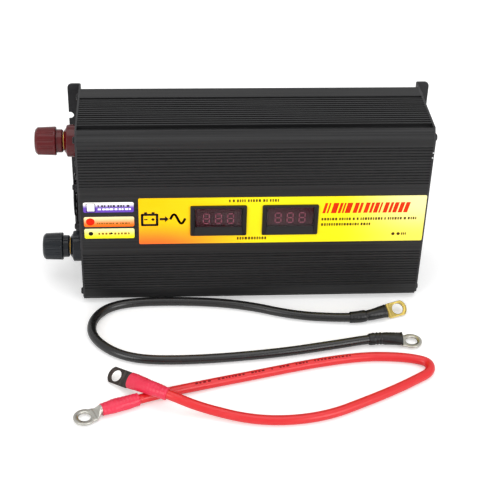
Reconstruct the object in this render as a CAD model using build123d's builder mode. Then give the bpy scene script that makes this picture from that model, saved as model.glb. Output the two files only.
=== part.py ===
"""Power inverter with clamp posts, fan, meters and a pair of battery leads. Sizes are in millimetres.

The case stands on one long narrow side. X runs along the case from the DC end to the mains end,
Y runs from the label face to the mounting flanges, Z is up, and the origin is the middle of the
bottom of the inverter's box (the loose leads in front are not counted in it).
"""

import os
from math import cos, pi, radians, sin

from build123d import *

os.makedirs("parts", exist_ok=True)

# ---------------------------------------------------------------- case sizes
CASE_LENGTH = 300.0        # over both end plates
CASE_HEIGHT = 172.0        # from the side it stands on to the opposite finned side
CASE_DEPTH = 82.0          # from the label face to the tray's back
PLATE_GAUGE = 1.5          # sheet of the end plates
FLANGE_WIDTH = 10.5        # how far a mounting flange stands out of its end plate
FLANGE_SETBACK = 10.0      # from the tray's back to the wall face of the flanges
CORNER = 7.0               # width of the eased corner between label face and finned side
CORNER_BULGE = 0.8
FRONT_WALL = 3.2
SIDE_WALL = 6.0            # finned side, fins included
TRAY_WALL = 2.5
SEAM_FROM_BACK = 19.5      # seam between tray and cover
SEAM_GROOVE = 1.9          # half the width of the groove along the seam
SEAM_DEPTH = 2.0
TONGUE = 5.0               # tray tongue behind the seam
TONGUE_THICK = 2.1
FIT = 0.1                  # clearance between pieces that slide together

FIN_COUNT = 13
FIN_PITCH = 3.7
FIN_DEPTH = 3.2
FIN_THICK = 1.7
FIN_START = 2.4            # from the seam to the first fin's middle
CHANNEL_WIDTH = 7.9        # plain channel between the last fin and the corner
CHANNEL_DEPTH = 3.6
RIB_COUNT = 13             # shallow ribs on the label face, one band above and one below the label
RIB_PITCH = 2.69
RIB_GROOVE = 1.25
RIB_DEPTH = 0.9
RIB_BAND_MIDDLE = 52.6     # from the label's middle line

SCREW_HOLE_R = 1.35        # M3 thread-forming screw channels
SCREW_CLEAR_R = 1.7
BOSS_R = 3.6
COVER_BOSS = (6.6, 9.0)    # from label face, from finned side
TRAY_BOSS = 5.5            # from back and from side

SLOT_WIDTH = 6.5           # open fixing slots in the flanges
SLOT_REACH = 4.4
SLOT_FROM_TOP = 31.0
SLOT_FROM_BOTTOM = 22.0

# ---------------------------------------------------------------- clamp posts and fan
POST_REACH = 36.5          # knob end beyond the DC plate
POST_TOP_Z = 143.0
POST_BOTTOM_Z = 34.0
STUD_R = 4.0
STUD_RUN = 0.06            # radial clearance of collar and knob on the stud
POST_BASE_R = 13.8
POST_BASE_THICK = 9.5
POST_CONE = 2.0
SPIGOT_R = 6.4
WAIST_R = 8.0
WAIST_THICK = 0.6
COLLAR_R = 10.0
COLLAR_THICK = 5.6
COLLAR_GAP = 0.5           # open gap at rest
KNOB_R = 12.4
KNOB_RIBS = 12
THREAD_PITCH = 1.25

FAN_Z = 88.5
FAN_SIZE = 50.0
FAN_THICK = 15.0
FAN_HOLES = 40.0
FAN_BORE_R = 23.6
FAN_OPENING_R = 23.0
ROTOR_R = 22.4
HUB_R = 11.0
BLADE_COUNT = 7
FAN_PIN_R = 1.5
GUARD_WIRE_R = 0.8

# ---------------------------------------------------------------- label face
LABEL_LENGTH = 247.6
LABEL_HEIGHT = 46.6
LABEL_THICK = 0.4
LABEL_RISE = 0.5           # label's middle above the case's middle
STICKER = (42.8, 10.0)
STICKER_THICK = 0.3
STICKER_GAP = 3.9          # between stickers and label
BEZEL = (48.5, 30.0)
BEZEL_PROUD = 3.0
METER_BODY = (44.6, 27.4)
METER_DEPTH = 12.0
METER_OFFSETS = (-30.75, 31.15)
METER_RISE = 1.0
WINDOW = (40.0, 18.8)
WINDOW_RISE = 3.1          # window's middle above the meter's middle
WINDOW_SINK = 1.4          # from the bezel's front to the window
DIGITS_RISE = 1.4
WINDOW_THICK = 1.5
RIM = 1.1                  # flat rim round the sloping frame of the bezel

# ---------------------------------------------------------------- mains end
OUTLET = (40.0, 44.0)
OUTLET_BODY = (35.0, 39.0)
OUTLET_DEPTH = 24.0
OUTLET_PROUD = 2.4
OUTLET_ZS = (112.0, 62.0)
SWITCH_Z = 151.0
SWITCH_FACE = (15.0, 22.0)
SWITCH_BODY = (12.8, 19.6)
SWITCH_PROUD = 1.6
SWITCH_DEPTH = 13.0
ROCKER_ANGLE = 10.0
ROCKER_PIN_R = 1.2
VENT_COUNT = 7
VENT_PITCH = 8.4
VENT = (4.8, 22.0)

# ---------------------------------------------------------------- board and what stands on it
BOARD_THICK = 1.6
STANDOFF = 6.0
BOARD_EDGE = 13.0          # from the finned sides
BOARD_FROM_DC = 24.0
BOARD_FROM_AC = 34.0

# ---------------------------------------------------------------- battery leads
CABLE_R = 4.0
BARREL_R = 4.1
BARREL = 13.0
SHORT_BARREL = 7.0
BARREL_BARE = 1.0          # barrel end left bare by the sleeve
SLEEVE_R = 5.4
RING_R = 9.0
RING_HOLE_R = 5.0
RING_GAP = 12.0            # from the barrel's end to the ring's centre
LUG_THICK = 1.8
LUG_STEP = 0.6              # from the barrel's end to a strip lug's full width
STRIP_TIP_R = 8.4           # outer radius at a strip lug's end
STRIP_HALF = 7.0            # half the width of a strip lug
STRIP_GAP = 18.0            # from the barrel's end to a strip lug's hole, on the red lead
# Points of each lead's route, from one barrel to the other.
BLACK_ROUTE = [
    (123.8, -74.8, 6.5), (112.3, -77.9, 5.4), (92.0, -78.9, 4.8), (50.0, -73.8, 4.3),
    (4.0, -55.5, 4.1), (-50.0, -48.8, 4.1), (-108.0, -50.5, 4.1), (-129.0, -73.0, 4.1),
    (-127.0, -102.0, 4.1), (-97.0, -128.8, 4.1), (-45.0, -132.0, 4.1), (25.0, -125.6, 4.1),
    (77.5, -116.6, 5.0), (114.0, -109.3, 5.6), (122.2, -109.6, 5.7),
]
RED_ROUTE = [
    (-88.3, -169.5, 13.3), (-65.2, -189.7, 19.1), (-36.9, -194.1, 6.5), (9.1, -208.9, 4.1),
    (59.0, -206.0, 4.1), (103.0, -184.5, 4.1), (127.0, -171.5, 4.1), (142.5, -161.8, 4.1),
    (155.8, -153.2, 4.1), (157.0, -141.0, 4.1), (145.2, -135.6, 4.1), (127.2, -132.4, 4.1),
    (100.2, -131.6, 4.1), (59.1, -138.9, 4.1), (11.7, -151.5, 4.1), (-30.7, -162.5, 4.1),
    (-74.7, -175.6, 5.2), (-106.2, -188.4, 5.7),
]

# ---------------------------------------------------------------- places worked out from the sizes
X_DC = POST_REACH - (POST_REACH + CASE_LENGTH + FLANGE_WIDTH) / 2
X_AC = X_DC + CASE_LENGTH
X_IN_DC = X_DC + PLATE_GAUGE
X_IN_AC = X_AC - PLATE_GAUGE
X_MID = (X_DC + X_AC) / 2
INNER_LENGTH = X_IN_AC - X_IN_DC
Y_FRONT = BEZEL_PROUD - (BEZEL_PROUD + CASE_DEPTH + FLANGE_SETBACK) / 2
Y_BACK = Y_FRONT + CASE_DEPTH
Y_WALL = Y_BACK + FLANGE_SETBACK
Y_MID = (Y_FRONT + Y_BACK) / 2
Y_SEAM = Y_BACK - SEAM_FROM_BACK
Z_MID = CASE_HEIGHT / 2
Z_LABEL = Z_MID + LABEL_RISE
Z_METER = Z_MID + METER_RISE
X_LABEL = X_IN_AC - LABEL_LENGTH / 2
SIDES = ((0.0, 1), (CASE_HEIGHT, -1))      # each finned side and the way inwards from it
Y_BOARD = Y_BACK - TRAY_WALL - STANDOFF    # back face of the main board
Y_BOARD_FRONT = Y_BOARD - BOARD_THICK
BOARD_X0 = X_IN_DC + BOARD_FROM_DC
BOARD_X1 = X_IN_AC - BOARD_FROM_AC
FAN_AT = (Y_MID, FAN_Z)
BASE_FACE = X_DC - POST_BASE_THICK - POST_CONE
COLLAR_X = BASE_FACE - WAIST_THICK - COLLAR_GAP
KNOB_X = COLLAR_X - COLLAR_THICK
KNOB_END = X_DC - POST_REACH


def save(piece, node):
    """Label a finished piece and write it as its own file."""
    piece.part.label = node
    export_step(piece.part, f"parts/{node}.step")


def end_plane(x):
    """Plane across the case at x; its axes are Y and Z, and it extrudes towards +X."""
    return Plane.YZ.offset(x)


def front_plane(y):
    """Plane parallel to the label face at y; its axes are X and Z, and it extrudes towards -Y."""
    return Plane.XZ.offset(-y)


def screw_places():
    """Y and Z of the four screw channels that both end plates share."""
    from_front, from_side = COVER_BOSS
    places = []
    for edge, inward in SIDES:
        places.append((Y_FRONT + from_front, edge + inward * from_side))
        places.append((Y_BACK - TRAY_BOSS, edge + inward * TRAY_BOSS))
    return places


def case_outline(y_back):
    """Closed outline of the case seen from its end, with the two eased front corners."""
    with BuildLine() as outline:
        Line((y_back, 0), (Y_FRONT + CORNER, 0))
        SagittaArc((Y_FRONT + CORNER, 0), (Y_FRONT, CORNER), -CORNER_BULGE)
        Line((Y_FRONT, CORNER), (Y_FRONT, CASE_HEIGHT - CORNER))
        SagittaArc((Y_FRONT, CASE_HEIGHT - CORNER), (Y_FRONT + CORNER, CASE_HEIGHT), -CORNER_BULGE)
        Line((Y_FRONT + CORNER, CASE_HEIGHT), (y_back, CASE_HEIGHT))
        Line((y_back, CASE_HEIGHT), (y_back, 0))
    return outline


# ================================================================ finned cover
outline = case_outline(Y_SEAM)
with BuildPart() as cover:
    with BuildSketch(end_plane(X_IN_DC)):
        add(outline.line)
        make_face()
        inner_front = Y_FRONT + FRONT_WALL
        with Locations(((inner_front + Y_SEAM) / 2, Z_MID)):
            Rectangle(Y_SEAM - inner_front, CASE_HEIGHT - 2 * SIDE_WALL, mode=Mode.SUBTRACT)
        bosses = [place for place in screw_places() if place[0] < Y_MID]
        with Locations(*bosses):
            Circle(BOSS_R)
        with Locations(*bosses):
            Circle(SCREW_HOLE_R, mode=Mode.SUBTRACT)
        for edge, inward in SIDES:
            # seam groove
            with Locations((Y_SEAM - SEAM_GROOVE / 2, edge + inward * SEAM_DEPTH / 2)):
                Rectangle(SEAM_GROOVE, SEAM_DEPTH, mode=Mode.SUBTRACT)
            # spaces between the fins, and the channel beside the last one
            first_gap = Y_SEAM - FIN_START - FIN_PITCH / 2
            gaps = [(first_gap - i * FIN_PITCH, edge) for i in range(FIN_COUNT - 1)]
            with Locations(*gaps):
                Rectangle(FIN_PITCH - FIN_THICK, 2 * FIN_DEPTH, mode=Mode.SUBTRACT)
            with Locations((Y_FRONT + CORNER + CHANNEL_WIDTH / 2, edge)):
                Rectangle(CHANNEL_WIDTH, 2 * CHANNEL_DEPTH, mode=Mode.SUBTRACT)
            # two scored lines on the eased corner
            for along in (0.22, 0.45):
                y_line = Y_FRONT + CORNER * (1 - along)
                z_line = edge + inward * CORNER * along
                with Locations((y_line - 0.35, z_line - inward * 0.35)):
                    Rectangle(0.9, 0.9, rotation=45, mode=Mode.SUBTRACT)
        for band in (-1, 1):
            middle = Z_LABEL + band * RIB_BAND_MIDDLE
            grooves = RIB_COUNT + 1
            steps = [(Y_FRONT, middle + (i - (grooves - 1) / 2) * RIB_PITCH) for i in range(grooves)]
            with Locations(*steps):
                Rectangle(2 * RIB_DEPTH, RIB_GROOVE, mode=Mode.SUBTRACT)
    extrude(amount=INNER_LENGTH)
    # openings for the two meters
    with BuildSketch(front_plane(Y_FRONT)):
        with Locations(*[(X_MID + offset, Z_METER) for offset in METER_OFFSETS]):
            Rectangle(METER_BODY[0] + 2 * FIT, METER_BODY[1] + 2 * FIT)
    extrude(amount=-2 * FRONT_WALL, mode=Mode.SUBTRACT)
save(cover, "finned_cover")

# ================================================================ base tray
with BuildPart() as tray:
    with BuildSketch(end_plane(X_IN_DC)):
        with Locations((Y_BACK - TRAY_WALL / 2, Z_MID)):
            Rectangle(TRAY_WALL, CASE_HEIGHT)
        for edge, inward in SIDES:
            with Locations(((Y_SEAM + Y_BACK) / 2, edge + inward * TRAY_WALL / 2)):
                Rectangle(SEAM_FROM_BACK, TRAY_WALL)
            tongue_z = edge + inward * (SIDE_WALL + FIT + TONGUE_THICK / 2)
            with Locations((Y_SEAM, tongue_z)):
                Rectangle(2 * TONGUE, TONGUE_THICK)
            block = SIDE_WALL + FIT + TONGUE_THICK
            with Locations((Y_SEAM + TONGUE / 2, edge + inward * block / 2)):
                Rectangle(TONGUE, block)
            with Locations((Y_SEAM + SEAM_GROOVE / 2, edge + inward * SEAM_DEPTH / 2)):
                Rectangle(SEAM_GROOVE, SEAM_DEPTH, mode=Mode.SUBTRACT)
        bosses = [place for place in screw_places() if place[0] > Y_MID]
        with Locations(*bosses):
            Circle(BOSS_R)
        with Locations(*bosses):
            Circle(SCREW_HOLE_R, mode=Mode.SUBTRACT)
    extrude(amount=INNER_LENGTH)
    fillet(tray.edges().filter_by(Axis.X).group_by(Axis.Y)[-1], 1.5)
save(tray, "base_tray")


# ================================================================ end plates
def plate_blank(x_outer, outward):
    """Sheet plate with its bent mounting flange and the two open fixing slots."""
    x_inner = x_outer - outward * PLATE_GAUGE
    flange_end = x_outer + outward * FLANGE_WIDTH
    web = case_outline(Y_WALL)
    with BuildPart() as plate:
        with BuildSketch(end_plane(min(x_outer, x_inner))):
            add(web.line)
            make_face()
            with Locations(*screw_places()):
                Circle(SCREW_CLEAR_R, mode=Mode.SUBTRACT)
        extrude(amount=PLATE_GAUGE)
        with BuildSketch(front_plane(Y_WALL)):
            with Locations(((x_inner + flange_end) / 2, Z_MID)):
                Rectangle(FLANGE_WIDTH + PLATE_GAUGE, CASE_HEIGHT)
        extrude(amount=PLATE_GAUGE)
        outer = plate.edges().filter_by(Axis.Y).filter_by(
            lambda edge: abs(edge.center().X - flange_end) < 0.01)
        fillet(outer, 4.0)
        bend = plate.edges().filter_by(Axis.Z).filter_by(
            lambda edge: abs(edge.center().X - x_inner) < 0.01 and abs(edge.center().Y - Y_WALL) < 0.01)
        fillet(bend, 2.2)
        with BuildSketch(front_plane(Y_WALL)):
            for z in (CASE_HEIGHT - SLOT_FROM_TOP, SLOT_FROM_BOTTOM):
                with Locations((flange_end - outward * (SLOT_REACH - SLOT_WIDTH / 2), z)):
                    Circle(SLOT_WIDTH / 2)
                with Locations((flange_end, z)):
                    Rectangle(2 * (SLOT_REACH - SLOT_WIDTH / 2), SLOT_WIDTH)
        extrude(amount=PLATE_GAUGE, mode=Mode.SUBTRACT)
    return plate


dc_blank = plate_blank(X_DC, -1)
with BuildPart() as dc_plate:
    add(dc_blank.part)
    with BuildSketch(end_plane(X_DC)):
        with Locations(FAN_AT):
            Circle(FAN_OPENING_R)
            with GridLocations(FAN_HOLES, FAN_HOLES, 2, 2):
                Circle(SCREW_CLEAR_R)
        with Locations((Y_MID, POST_TOP_Z), (Y_MID, POST_BOTTOM_Z)):
            Circle(SPIGOT_R + FIT)
    extrude(amount=PLATE_GAUGE, mode=Mode.SUBTRACT)
save(dc_plate, "dc_end_plate")

ac_blank = plate_blank(X_AC, 1)
with BuildPart() as ac_plate:
    add(ac_blank.part)
    with BuildSketch(end_plane(X_IN_AC)):
        with Locations(*[(Y_MID, z) for z in OUTLET_ZS]):
            Rectangle(OUTLET_BODY[0] + 2 * FIT, OUTLET_BODY[1] + 2 * FIT)
        with Locations((Y_MID - 18, SWITCH_Z)):
            Rectangle(SWITCH_BODY[0] + 2 * FIT, SWITCH_BODY[1] + 2 * FIT)
        with Locations((Y_MID + 22, SWITCH_Z)):
            Rectangle(5.6 + 2 * FIT, 13.2 + 2 * FIT)
        with Locations((Y_MID + 2, SWITCH_Z + 5), (Y_MID + 2, SWITCH_Z - 5)):
            Circle(2.5 + FIT)
        with Locations((Y_MID, 22.0)):
            with GridLocations(VENT_PITCH, 1, VENT_COUNT, 1):
                Rectangle(*VENT)
    extrude(amount=PLATE_GAUGE, mode=Mode.SUBTRACT)
save(ac_plate, "ac_end_plate")


def pan_screw_at(x_face, outward, places, head_r, head_h, shank_r, shank):
    """Pan-head screws with a cross recess, seated on the face at x_face."""
    with BuildPart() as screws:
        with BuildSketch(end_plane(x_face)):
            with Locations(*places):
                Circle(head_r)
        extrude(amount=outward * head_h)
        top = screws.edges().filter_by(GeomType.CIRCLE).filter_by(
            lambda edge: abs(edge.center().X - x_face - outward * head_h) < 0.01)
        fillet(top, 0.45 * head_h)
        with BuildSketch(end_plane(x_face)):
            with Locations(*places):
                Circle(shank_r)
        extrude(amount=-outward * shank)
        with BuildSketch(end_plane(x_face + outward * head_h)):
            with Locations(*places):
                Rectangle(head_r * 1.1, head_r * 0.24)
                Rectangle(head_r * 0.24, head_r * 1.1)
        extrude(amount=-outward * head_h * 0.55, mode=Mode.SUBTRACT)
    return screws


with BuildPart() as plate_screws:
    for face, way in ((X_DC, -1), (X_AC, 1)):
        add(pan_screw_at(face, way, screw_places(), 2.9, 2.0, SCREW_HOLE_R, 8.0).part)
save(plate_screws, "plate_screws")

# ================================================================ label and stickers
with BuildPart() as label:
    with BuildSketch(front_plane(Y_FRONT)):
        with Locations((X_LABEL, Z_LABEL)):
            RectangleRounded(LABEL_LENGTH, LABEL_HEIGHT, 1.2)
        with Locations(*[(X_MID + offset, Z_METER) for offset in METER_OFFSETS]):
            Rectangle(METER_BODY[0] + 2 * FIT, METER_BODY[1] + 2 * FIT, mode=Mode.SUBTRACT)
    extrude(amount=LABEL_THICK)
save(label, "label_panel")

STICKER_X = X_LABEL - LABEL_LENGTH / 2 - STICKER_GAP - STICKER[0] / 2
STICKER_RISES = {"sticker_upper": 15.2, "sticker_middle": 0.6, "sticker_lower": -11.4}
for node, rise in STICKER_RISES.items():
    with BuildPart() as sticker:
        with BuildSketch(front_plane(Y_FRONT)):
            with Locations((STICKER_X, Z_MID + rise)):
                RectangleRounded(*STICKER, 1.6)
        extrude(amount=STICKER_THICK)
    save(sticker, node)

# ================================================================ meters
SEGMENT = (3.6, 0.9)       # length and width of one bar of a digit
DIGIT_HEIGHT = 9.6
DIGIT_PITCH = 10.4


def digit_bars(x, z):
    """Centres and sizes of the seven bars of one digit."""
    across, thick = SEGMENT
    half = DIGIT_HEIGHT / 2
    level = [((x, z + step * half), (across, thick)) for step in (-1, 0, 1)]
    upright = []
    for side in (-1, 1):
        for step in (-0.5, 0.5):
            place = (x + side * (across / 2 + thick / 2 + 0.25), z + step * half)
            upright.append((place, (thick, half - thick - 0.5)))
    return level + upright


for side, offset in zip(("left", "right"), METER_OFFSETS):
    x_meter = X_MID + offset
    z_window = Z_METER + WINDOW_RISE
    with BuildPart() as bezel:
        with BuildSketch(front_plane(Y_FRONT - LABEL_THICK)):
            with Locations((x_meter, Z_METER)):
                RectangleRounded(*BEZEL, 1.4)
        extrude(amount=BEZEL_PROUD - LABEL_THICK)
        chamfer(bezel.faces().sort_by(Axis.Y)[0].outer_wire().edges(), 0.9)
        with BuildSketch(front_plane(Y_FRONT - LABEL_THICK)):
            with Locations((x_meter, Z_METER)):
                Rectangle(*METER_BODY)
        extrude(amount=-(METER_DEPTH + LABEL_THICK))
        with BuildSketch(front_plane(Y_FRONT - BEZEL_PROUD)):
            with Locations((x_meter, z_window)):
                Rectangle(WINDOW[0] + 2 * FIT, WINDOW[1] + 2 * FIT)
        extrude(amount=-(BEZEL_PROUD + METER_DEPTH), mode=Mode.SUBTRACT)
        # sloping frame down to the window, widest below it
        frame_low = Z_METER - BEZEL[1] / 2 + RIM
        frame_high = z_window + WINDOW[1] / 2 + RIM
        with BuildSketch(front_plane(Y_FRONT - BEZEL_PROUD)):
            with Locations((x_meter, (frame_low + frame_high) / 2)):
                Rectangle(WINDOW[0] + 2 * RIM, frame_high - frame_low)
        with BuildSketch(front_plane(Y_FRONT - BEZEL_PROUD + WINDOW_SINK)):
            with Locations((x_meter, z_window)):
                Rectangle(WINDOW[0] + 2 * FIT, WINDOW[1] + 2 * FIT)
        loft(mode=Mode.SUBTRACT)
    save(bezel, f"{side}_meter_bezel")

    y_window = Y_FRONT - BEZEL_PROUD + WINDOW_SINK + 2 * FIT
    with BuildPart() as window:
        with BuildSketch(front_plane(y_window)):
            with Locations((x_meter, z_window)):
                Rectangle(*WINDOW)
        extrude(amount=-WINDOW_THICK)
    save(window, f"{side}_meter_window")

    y_digits = y_window + WINDOW_THICK + FIT
    with BuildPart() as digits:
        with BuildSketch(front_plane(y_digits + 0.5)):
            with Locations((x_meter, z_window)):
                Rectangle(WINDOW[0] - 1.0, WINDOW[1] - 1.0)
        extrude(amount=-6.0)
        with BuildSketch(front_plane(y_digits + 0.5)):
            for place in (-1, 0, 1):
                for centre, size in digit_bars(x_meter + place * DIGIT_PITCH, Z_METER + DIGITS_RISE):
                    with Locations(centre):
                        Rectangle(*size)
        extrude(amount=0.4)
    save(digits, f"{side}_meter_digits")

with BuildPart() as meter_boards:
    with BuildSketch(front_plane(Y_FRONT + METER_DEPTH - 4.0)):
        with Locations(*[(X_MID + offset, Z_METER + WINDOW_RISE) for offset in METER_OFFSETS]):
            Rectangle(WINDOW[0] - 1.0, WINDOW[1] - 1.0)
    extrude(amount=-1.6)
save(meter_boards, "meter_boards")


# ================================================================ clamp posts
def revolved(profile, z):
    """Solid turned about a post's own axis from (x, radius) points."""
    with BuildPart() as turned:
        with BuildSketch(Plane.XY.offset(z)):
            with BuildLine():
                Polyline(*[(x, Y_MID + radius) for x, radius in profile], close=True)
            make_face()
        revolve(axis=Axis((0, Y_MID, z), (1, 0, 0)))
    return turned


def make_post(colour, z):
    """The five pieces of one clamp post, from the insulating base out to the ribbed knob."""
    bush = STUD_R + STUD_RUN
    base = revolved([
        (X_DC, bush), (X_DC, POST_BASE_R), (X_DC - POST_BASE_THICK + 0.8, POST_BASE_R),
        (X_DC - POST_BASE_THICK, POST_BASE_R - 0.8), (X_DC - POST_BASE_THICK, POST_BASE_R - 2.1),
        (BASE_FACE, WAIST_R + 1.2), (BASE_FACE, bush)], z)
    with BuildPart() as base_piece:
        add(base.part)
        with BuildSketch(end_plane(X_DC)):
            with Locations((Y_MID, z)):
                Circle(SPIGOT_R)
                Circle(bush, mode=Mode.SUBTRACT)
        extrude(amount=PLATE_GAUGE)
    save(base_piece, f"{colour}_post_base")

    stud_in = X_IN_DC + 13.0
    stud_out = KNOB_END + 4.0
    stud = revolved([
        (stud_in, 0), (stud_in, STUD_R), (BASE_FACE, STUD_R), (BASE_FACE, WAIST_R),
        (BASE_FACE - WAIST_THICK, WAIST_R), (BASE_FACE - WAIST_THICK, STUD_R),
        (stud_out + 0.8, STUD_R), (stud_out, STUD_R - 0.8), (stud_out, 0)], z)
    save(stud, f"{colour}_post_stud")

    with BuildPart() as nut:
        with BuildSketch(end_plane(X_IN_DC)):
            with Locations((Y_MID, z)):
                Circle(9.5)
                Circle(STUD_R + STUD_RUN, mode=Mode.SUBTRACT)
        extrude(amount=1.6)
        with BuildSketch(end_plane(X_IN_DC + 1.6)):
            with Locations((Y_MID, z)):
                RegularPolygon(7.5, 6)
                Circle(STUD_R + STUD_RUN, mode=Mode.SUBTRACT)
        extrude(amount=6.0)
    save(nut, f"{colour}_post_nut")

    collar = revolved([
        (COLLAR_X, bush), (COLLAR_X, COLLAR_R - 1.0), (COLLAR_X - 1.0, COLLAR_R),
        (KNOB_X, COLLAR_R), (KNOB_X, bush)], z)
    save(collar, f"{colour}_post_collar")

    knob_face = KNOB_X - FIT
    crown = 2.6
    knob = revolved([
        (knob_face, bush), (knob_face, KNOB_R - 0.7), (knob_face - 0.7, KNOB_R),
        (KNOB_END + crown, KNOB_R - 0.5), (KNOB_END + 0.7, KNOB_R - 2.2),
        (KNOB_END, KNOB_R - 4.5), (KNOB_END, 0), (KNOB_END + 3.0, 0), (KNOB_END + 3.0, bush)], z)
    with BuildPart() as knob_piece:
        add(knob.part)
        with BuildSketch(end_plane(KNOB_END)):
            with Locations((Y_MID, z)):
                with PolarLocations(KNOB_R + 0.75, KNOB_RIBS):
                    Circle(1.7)
        extrude(amount=knob_face - 2.0 - KNOB_END, mode=Mode.SUBTRACT)
    save(knob_piece, f"{colour}_post_knob")


make_post("red", POST_TOP_Z)
make_post("black", POST_BOTTOM_Z)

# ================================================================ fan
y_fan, z_fan = FAN_AT
FAN_X1 = X_IN_DC + FAN_THICK
STATOR_X = FAN_X1 - 3.0
with BuildPart() as fan_frame:
    with BuildSketch(end_plane(X_IN_DC)):
        with Locations(FAN_AT):
            RectangleRounded(FAN_SIZE, FAN_SIZE, 3.0)
            Circle(FAN_BORE_R, mode=Mode.SUBTRACT)
            with GridLocations(FAN_HOLES, FAN_HOLES, 2, 2):
                Circle(SCREW_HOLE_R + 0.3, mode=Mode.SUBTRACT)
    extrude(amount=FAN_THICK)
    with BuildSketch(end_plane(STATOR_X)):
        with Locations(FAN_AT):
            Circle(HUB_R)
            Rectangle(2 * FAN_BORE_R + 1, 2.4)
            Rectangle(2.4, 2 * FAN_BORE_R + 1)
    extrude(amount=FAN_X1 - STATOR_X)
    with BuildSketch(end_plane(STATOR_X - 6.0)):
        with Locations(FAN_AT):
            Circle(3.4)
            Circle(FAN_PIN_R + STUD_RUN, mode=Mode.SUBTRACT)
    extrude(amount=6.0)
save(fan_frame, "fan_frame")

with BuildPart() as stator:
    with BuildSketch(end_plane(STATOR_X - 5.6)):
        with Locations(FAN_AT):
            Circle(4.6)
            with PolarLocations(5.9, 4):
                Rectangle(4.2, 4.6)
            Circle(3.4 + FIT, mode=Mode.SUBTRACT)
    extrude(amount=5.2)
save(stator, "fan_stator")

ROTOR_FACE = X_IN_DC + 1.6
with BuildPart() as rotor:
    with BuildSketch(end_plane(ROTOR_FACE)):
        with Locations(FAN_AT):
            Circle(HUB_R)
    extrude(amount=STATOR_X - 0.6 - ROTOR_FACE)
    with BuildSketch(end_plane(ROTOR_FACE + 1.6)):
        with Locations(FAN_AT):
            Circle(HUB_R - 1.2)
    extrude(amount=FAN_THICK, mode=Mode.SUBTRACT)
    with BuildSketch(end_plane(ROTOR_FACE + 1.6)):
        with Locations(FAN_AT):
            Circle(FAN_PIN_R)
    extrude(amount=STATOR_X - 0.6 - ROTOR_FACE - 1.6)
    for i in range(BLADE_COUNT):
        turn = 360.0 / BLADE_COUNT * i
        lean = 34.0
        root, tip = HUB_R - 0.6, ROTOR_R
        spoke = Vector(0, cos(radians(turn)), sin(radians(turn)))
        chord = Vector(1, 0, 0).rotate(Axis((0, 0, 0), spoke), lean)
        with BuildSketch(Plane(origin=Vector(ROTOR_FACE + 4.9, y_fan, z_fan) + spoke * root,
                               x_dir=chord, z_dir=spoke)):
            Rectangle(8.6, 1.3)
        extrude(amount=tip - root - 0.5)
save(rotor, "fan_rotor")

GUARD_X = X_DC - 4.7
GUARD_RINGS = (6.5, 12.5, 18.5)
LOOP_THICK = 3.2
ARM_END = FAN_HOLES / 2 * 2 ** 0.5 - 3.6
fan_places = [(y_fan + a * FAN_HOLES / 2, z_fan + b * FAN_HOLES / 2) for a in (-1, 1) for b in (-1, 1)]
with BuildPart() as guard:
    for radius in GUARD_RINGS:
        with BuildSketch(Plane.XY.offset(z_fan)):
            with Locations((GUARD_X, y_fan + radius)):
                Circle(GUARD_WIRE_R)
        revolve(axis=Axis((0, y_fan, z_fan), (1, 0, 0)))
    for turn in (45, 135):
        arm = Vector(0, cos(radians(turn)), sin(radians(turn)))
        start = Vector(GUARD_X + 1.2, y_fan, z_fan) - arm * (ARM_END + 0.3)
        with BuildSketch(Plane(origin=start, x_dir=(1, 0, 0), z_dir=arm)):
            Circle(GUARD_WIRE_R)
        extrude(amount=2 * ARM_END + 0.6)
    with BuildSketch(end_plane(X_DC)):
        with Locations(*fan_places):
            Circle(4.2)
            Circle(SCREW_CLEAR_R, mode=Mode.SUBTRACT)
    extrude(amount=-LOOP_THICK)
    with BuildSketch(end_plane(X_DC - 0.6)):
        with Locations(FAN_AT):
            with PolarLocations(ARM_END, 4, start_angle=45):
                Circle(GUARD_WIRE_R)
    extrude(amount=GUARD_X + 1.2 - X_DC + 0.6)
save(guard, "fan_guard")

with BuildPart() as fan_screws:
    add(pan_screw_at(X_DC - LOOP_THICK, -1, fan_places, 2.6, 2.4, SCREW_HOLE_R + 0.3, 14.0).part)
save(fan_screws, "fan_screws")

# ================================================================ mains end
SLOT_SETS = ((-8.0, 4.0), (8.0, 4.0), (0.0, -9.0))
for node, z in zip(("outlet_upper", "outlet_lower"), OUTLET_ZS):
    with BuildPart() as outlet:
        with BuildSketch(end_plane(X_AC)):
            with Locations((Y_MID, z)):
                RectangleRounded(*OUTLET, 3.0)
        extrude(amount=OUTLET_PROUD)
        chamfer(outlet.faces().sort_by(Axis.X)[-1].outer_wire().edges(), 0.8)
        with BuildSketch(end_plane(X_AC - OUTLET_DEPTH)):
            with Locations((Y_MID, z)):
                Rectangle(*OUTLET_BODY)
        extrude(amount=OUTLET_DEPTH)
        with BuildSketch(end_plane(X_AC + OUTLET_PROUD)):
            for dy, dz in SLOT_SETS:
                with Locations((Y_MID + dy, z + dz)):
                    Circle(2.7)
                    Rectangle(2.6, 8.4)
        extrude(amount=-(OUTLET_PROUD + OUTLET_DEPTH - 3.0), mode=Mode.SUBTRACT)
    save(outlet, node)

with BuildPart() as contacts:
    with BuildSketch(end_plane(X_AC - OUTLET_DEPTH + 3.0)):
        for z in OUTLET_ZS:
            for dy, dz in SLOT_SETS:
                with Locations((Y_MID + dy - 2.1, z + dz), (Y_MID + dy + 2.1, z + dz)):
                    Rectangle(0.6, 1.8)
    extrude(amount=14.0)
save(contacts, "outlet_contacts")

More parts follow.
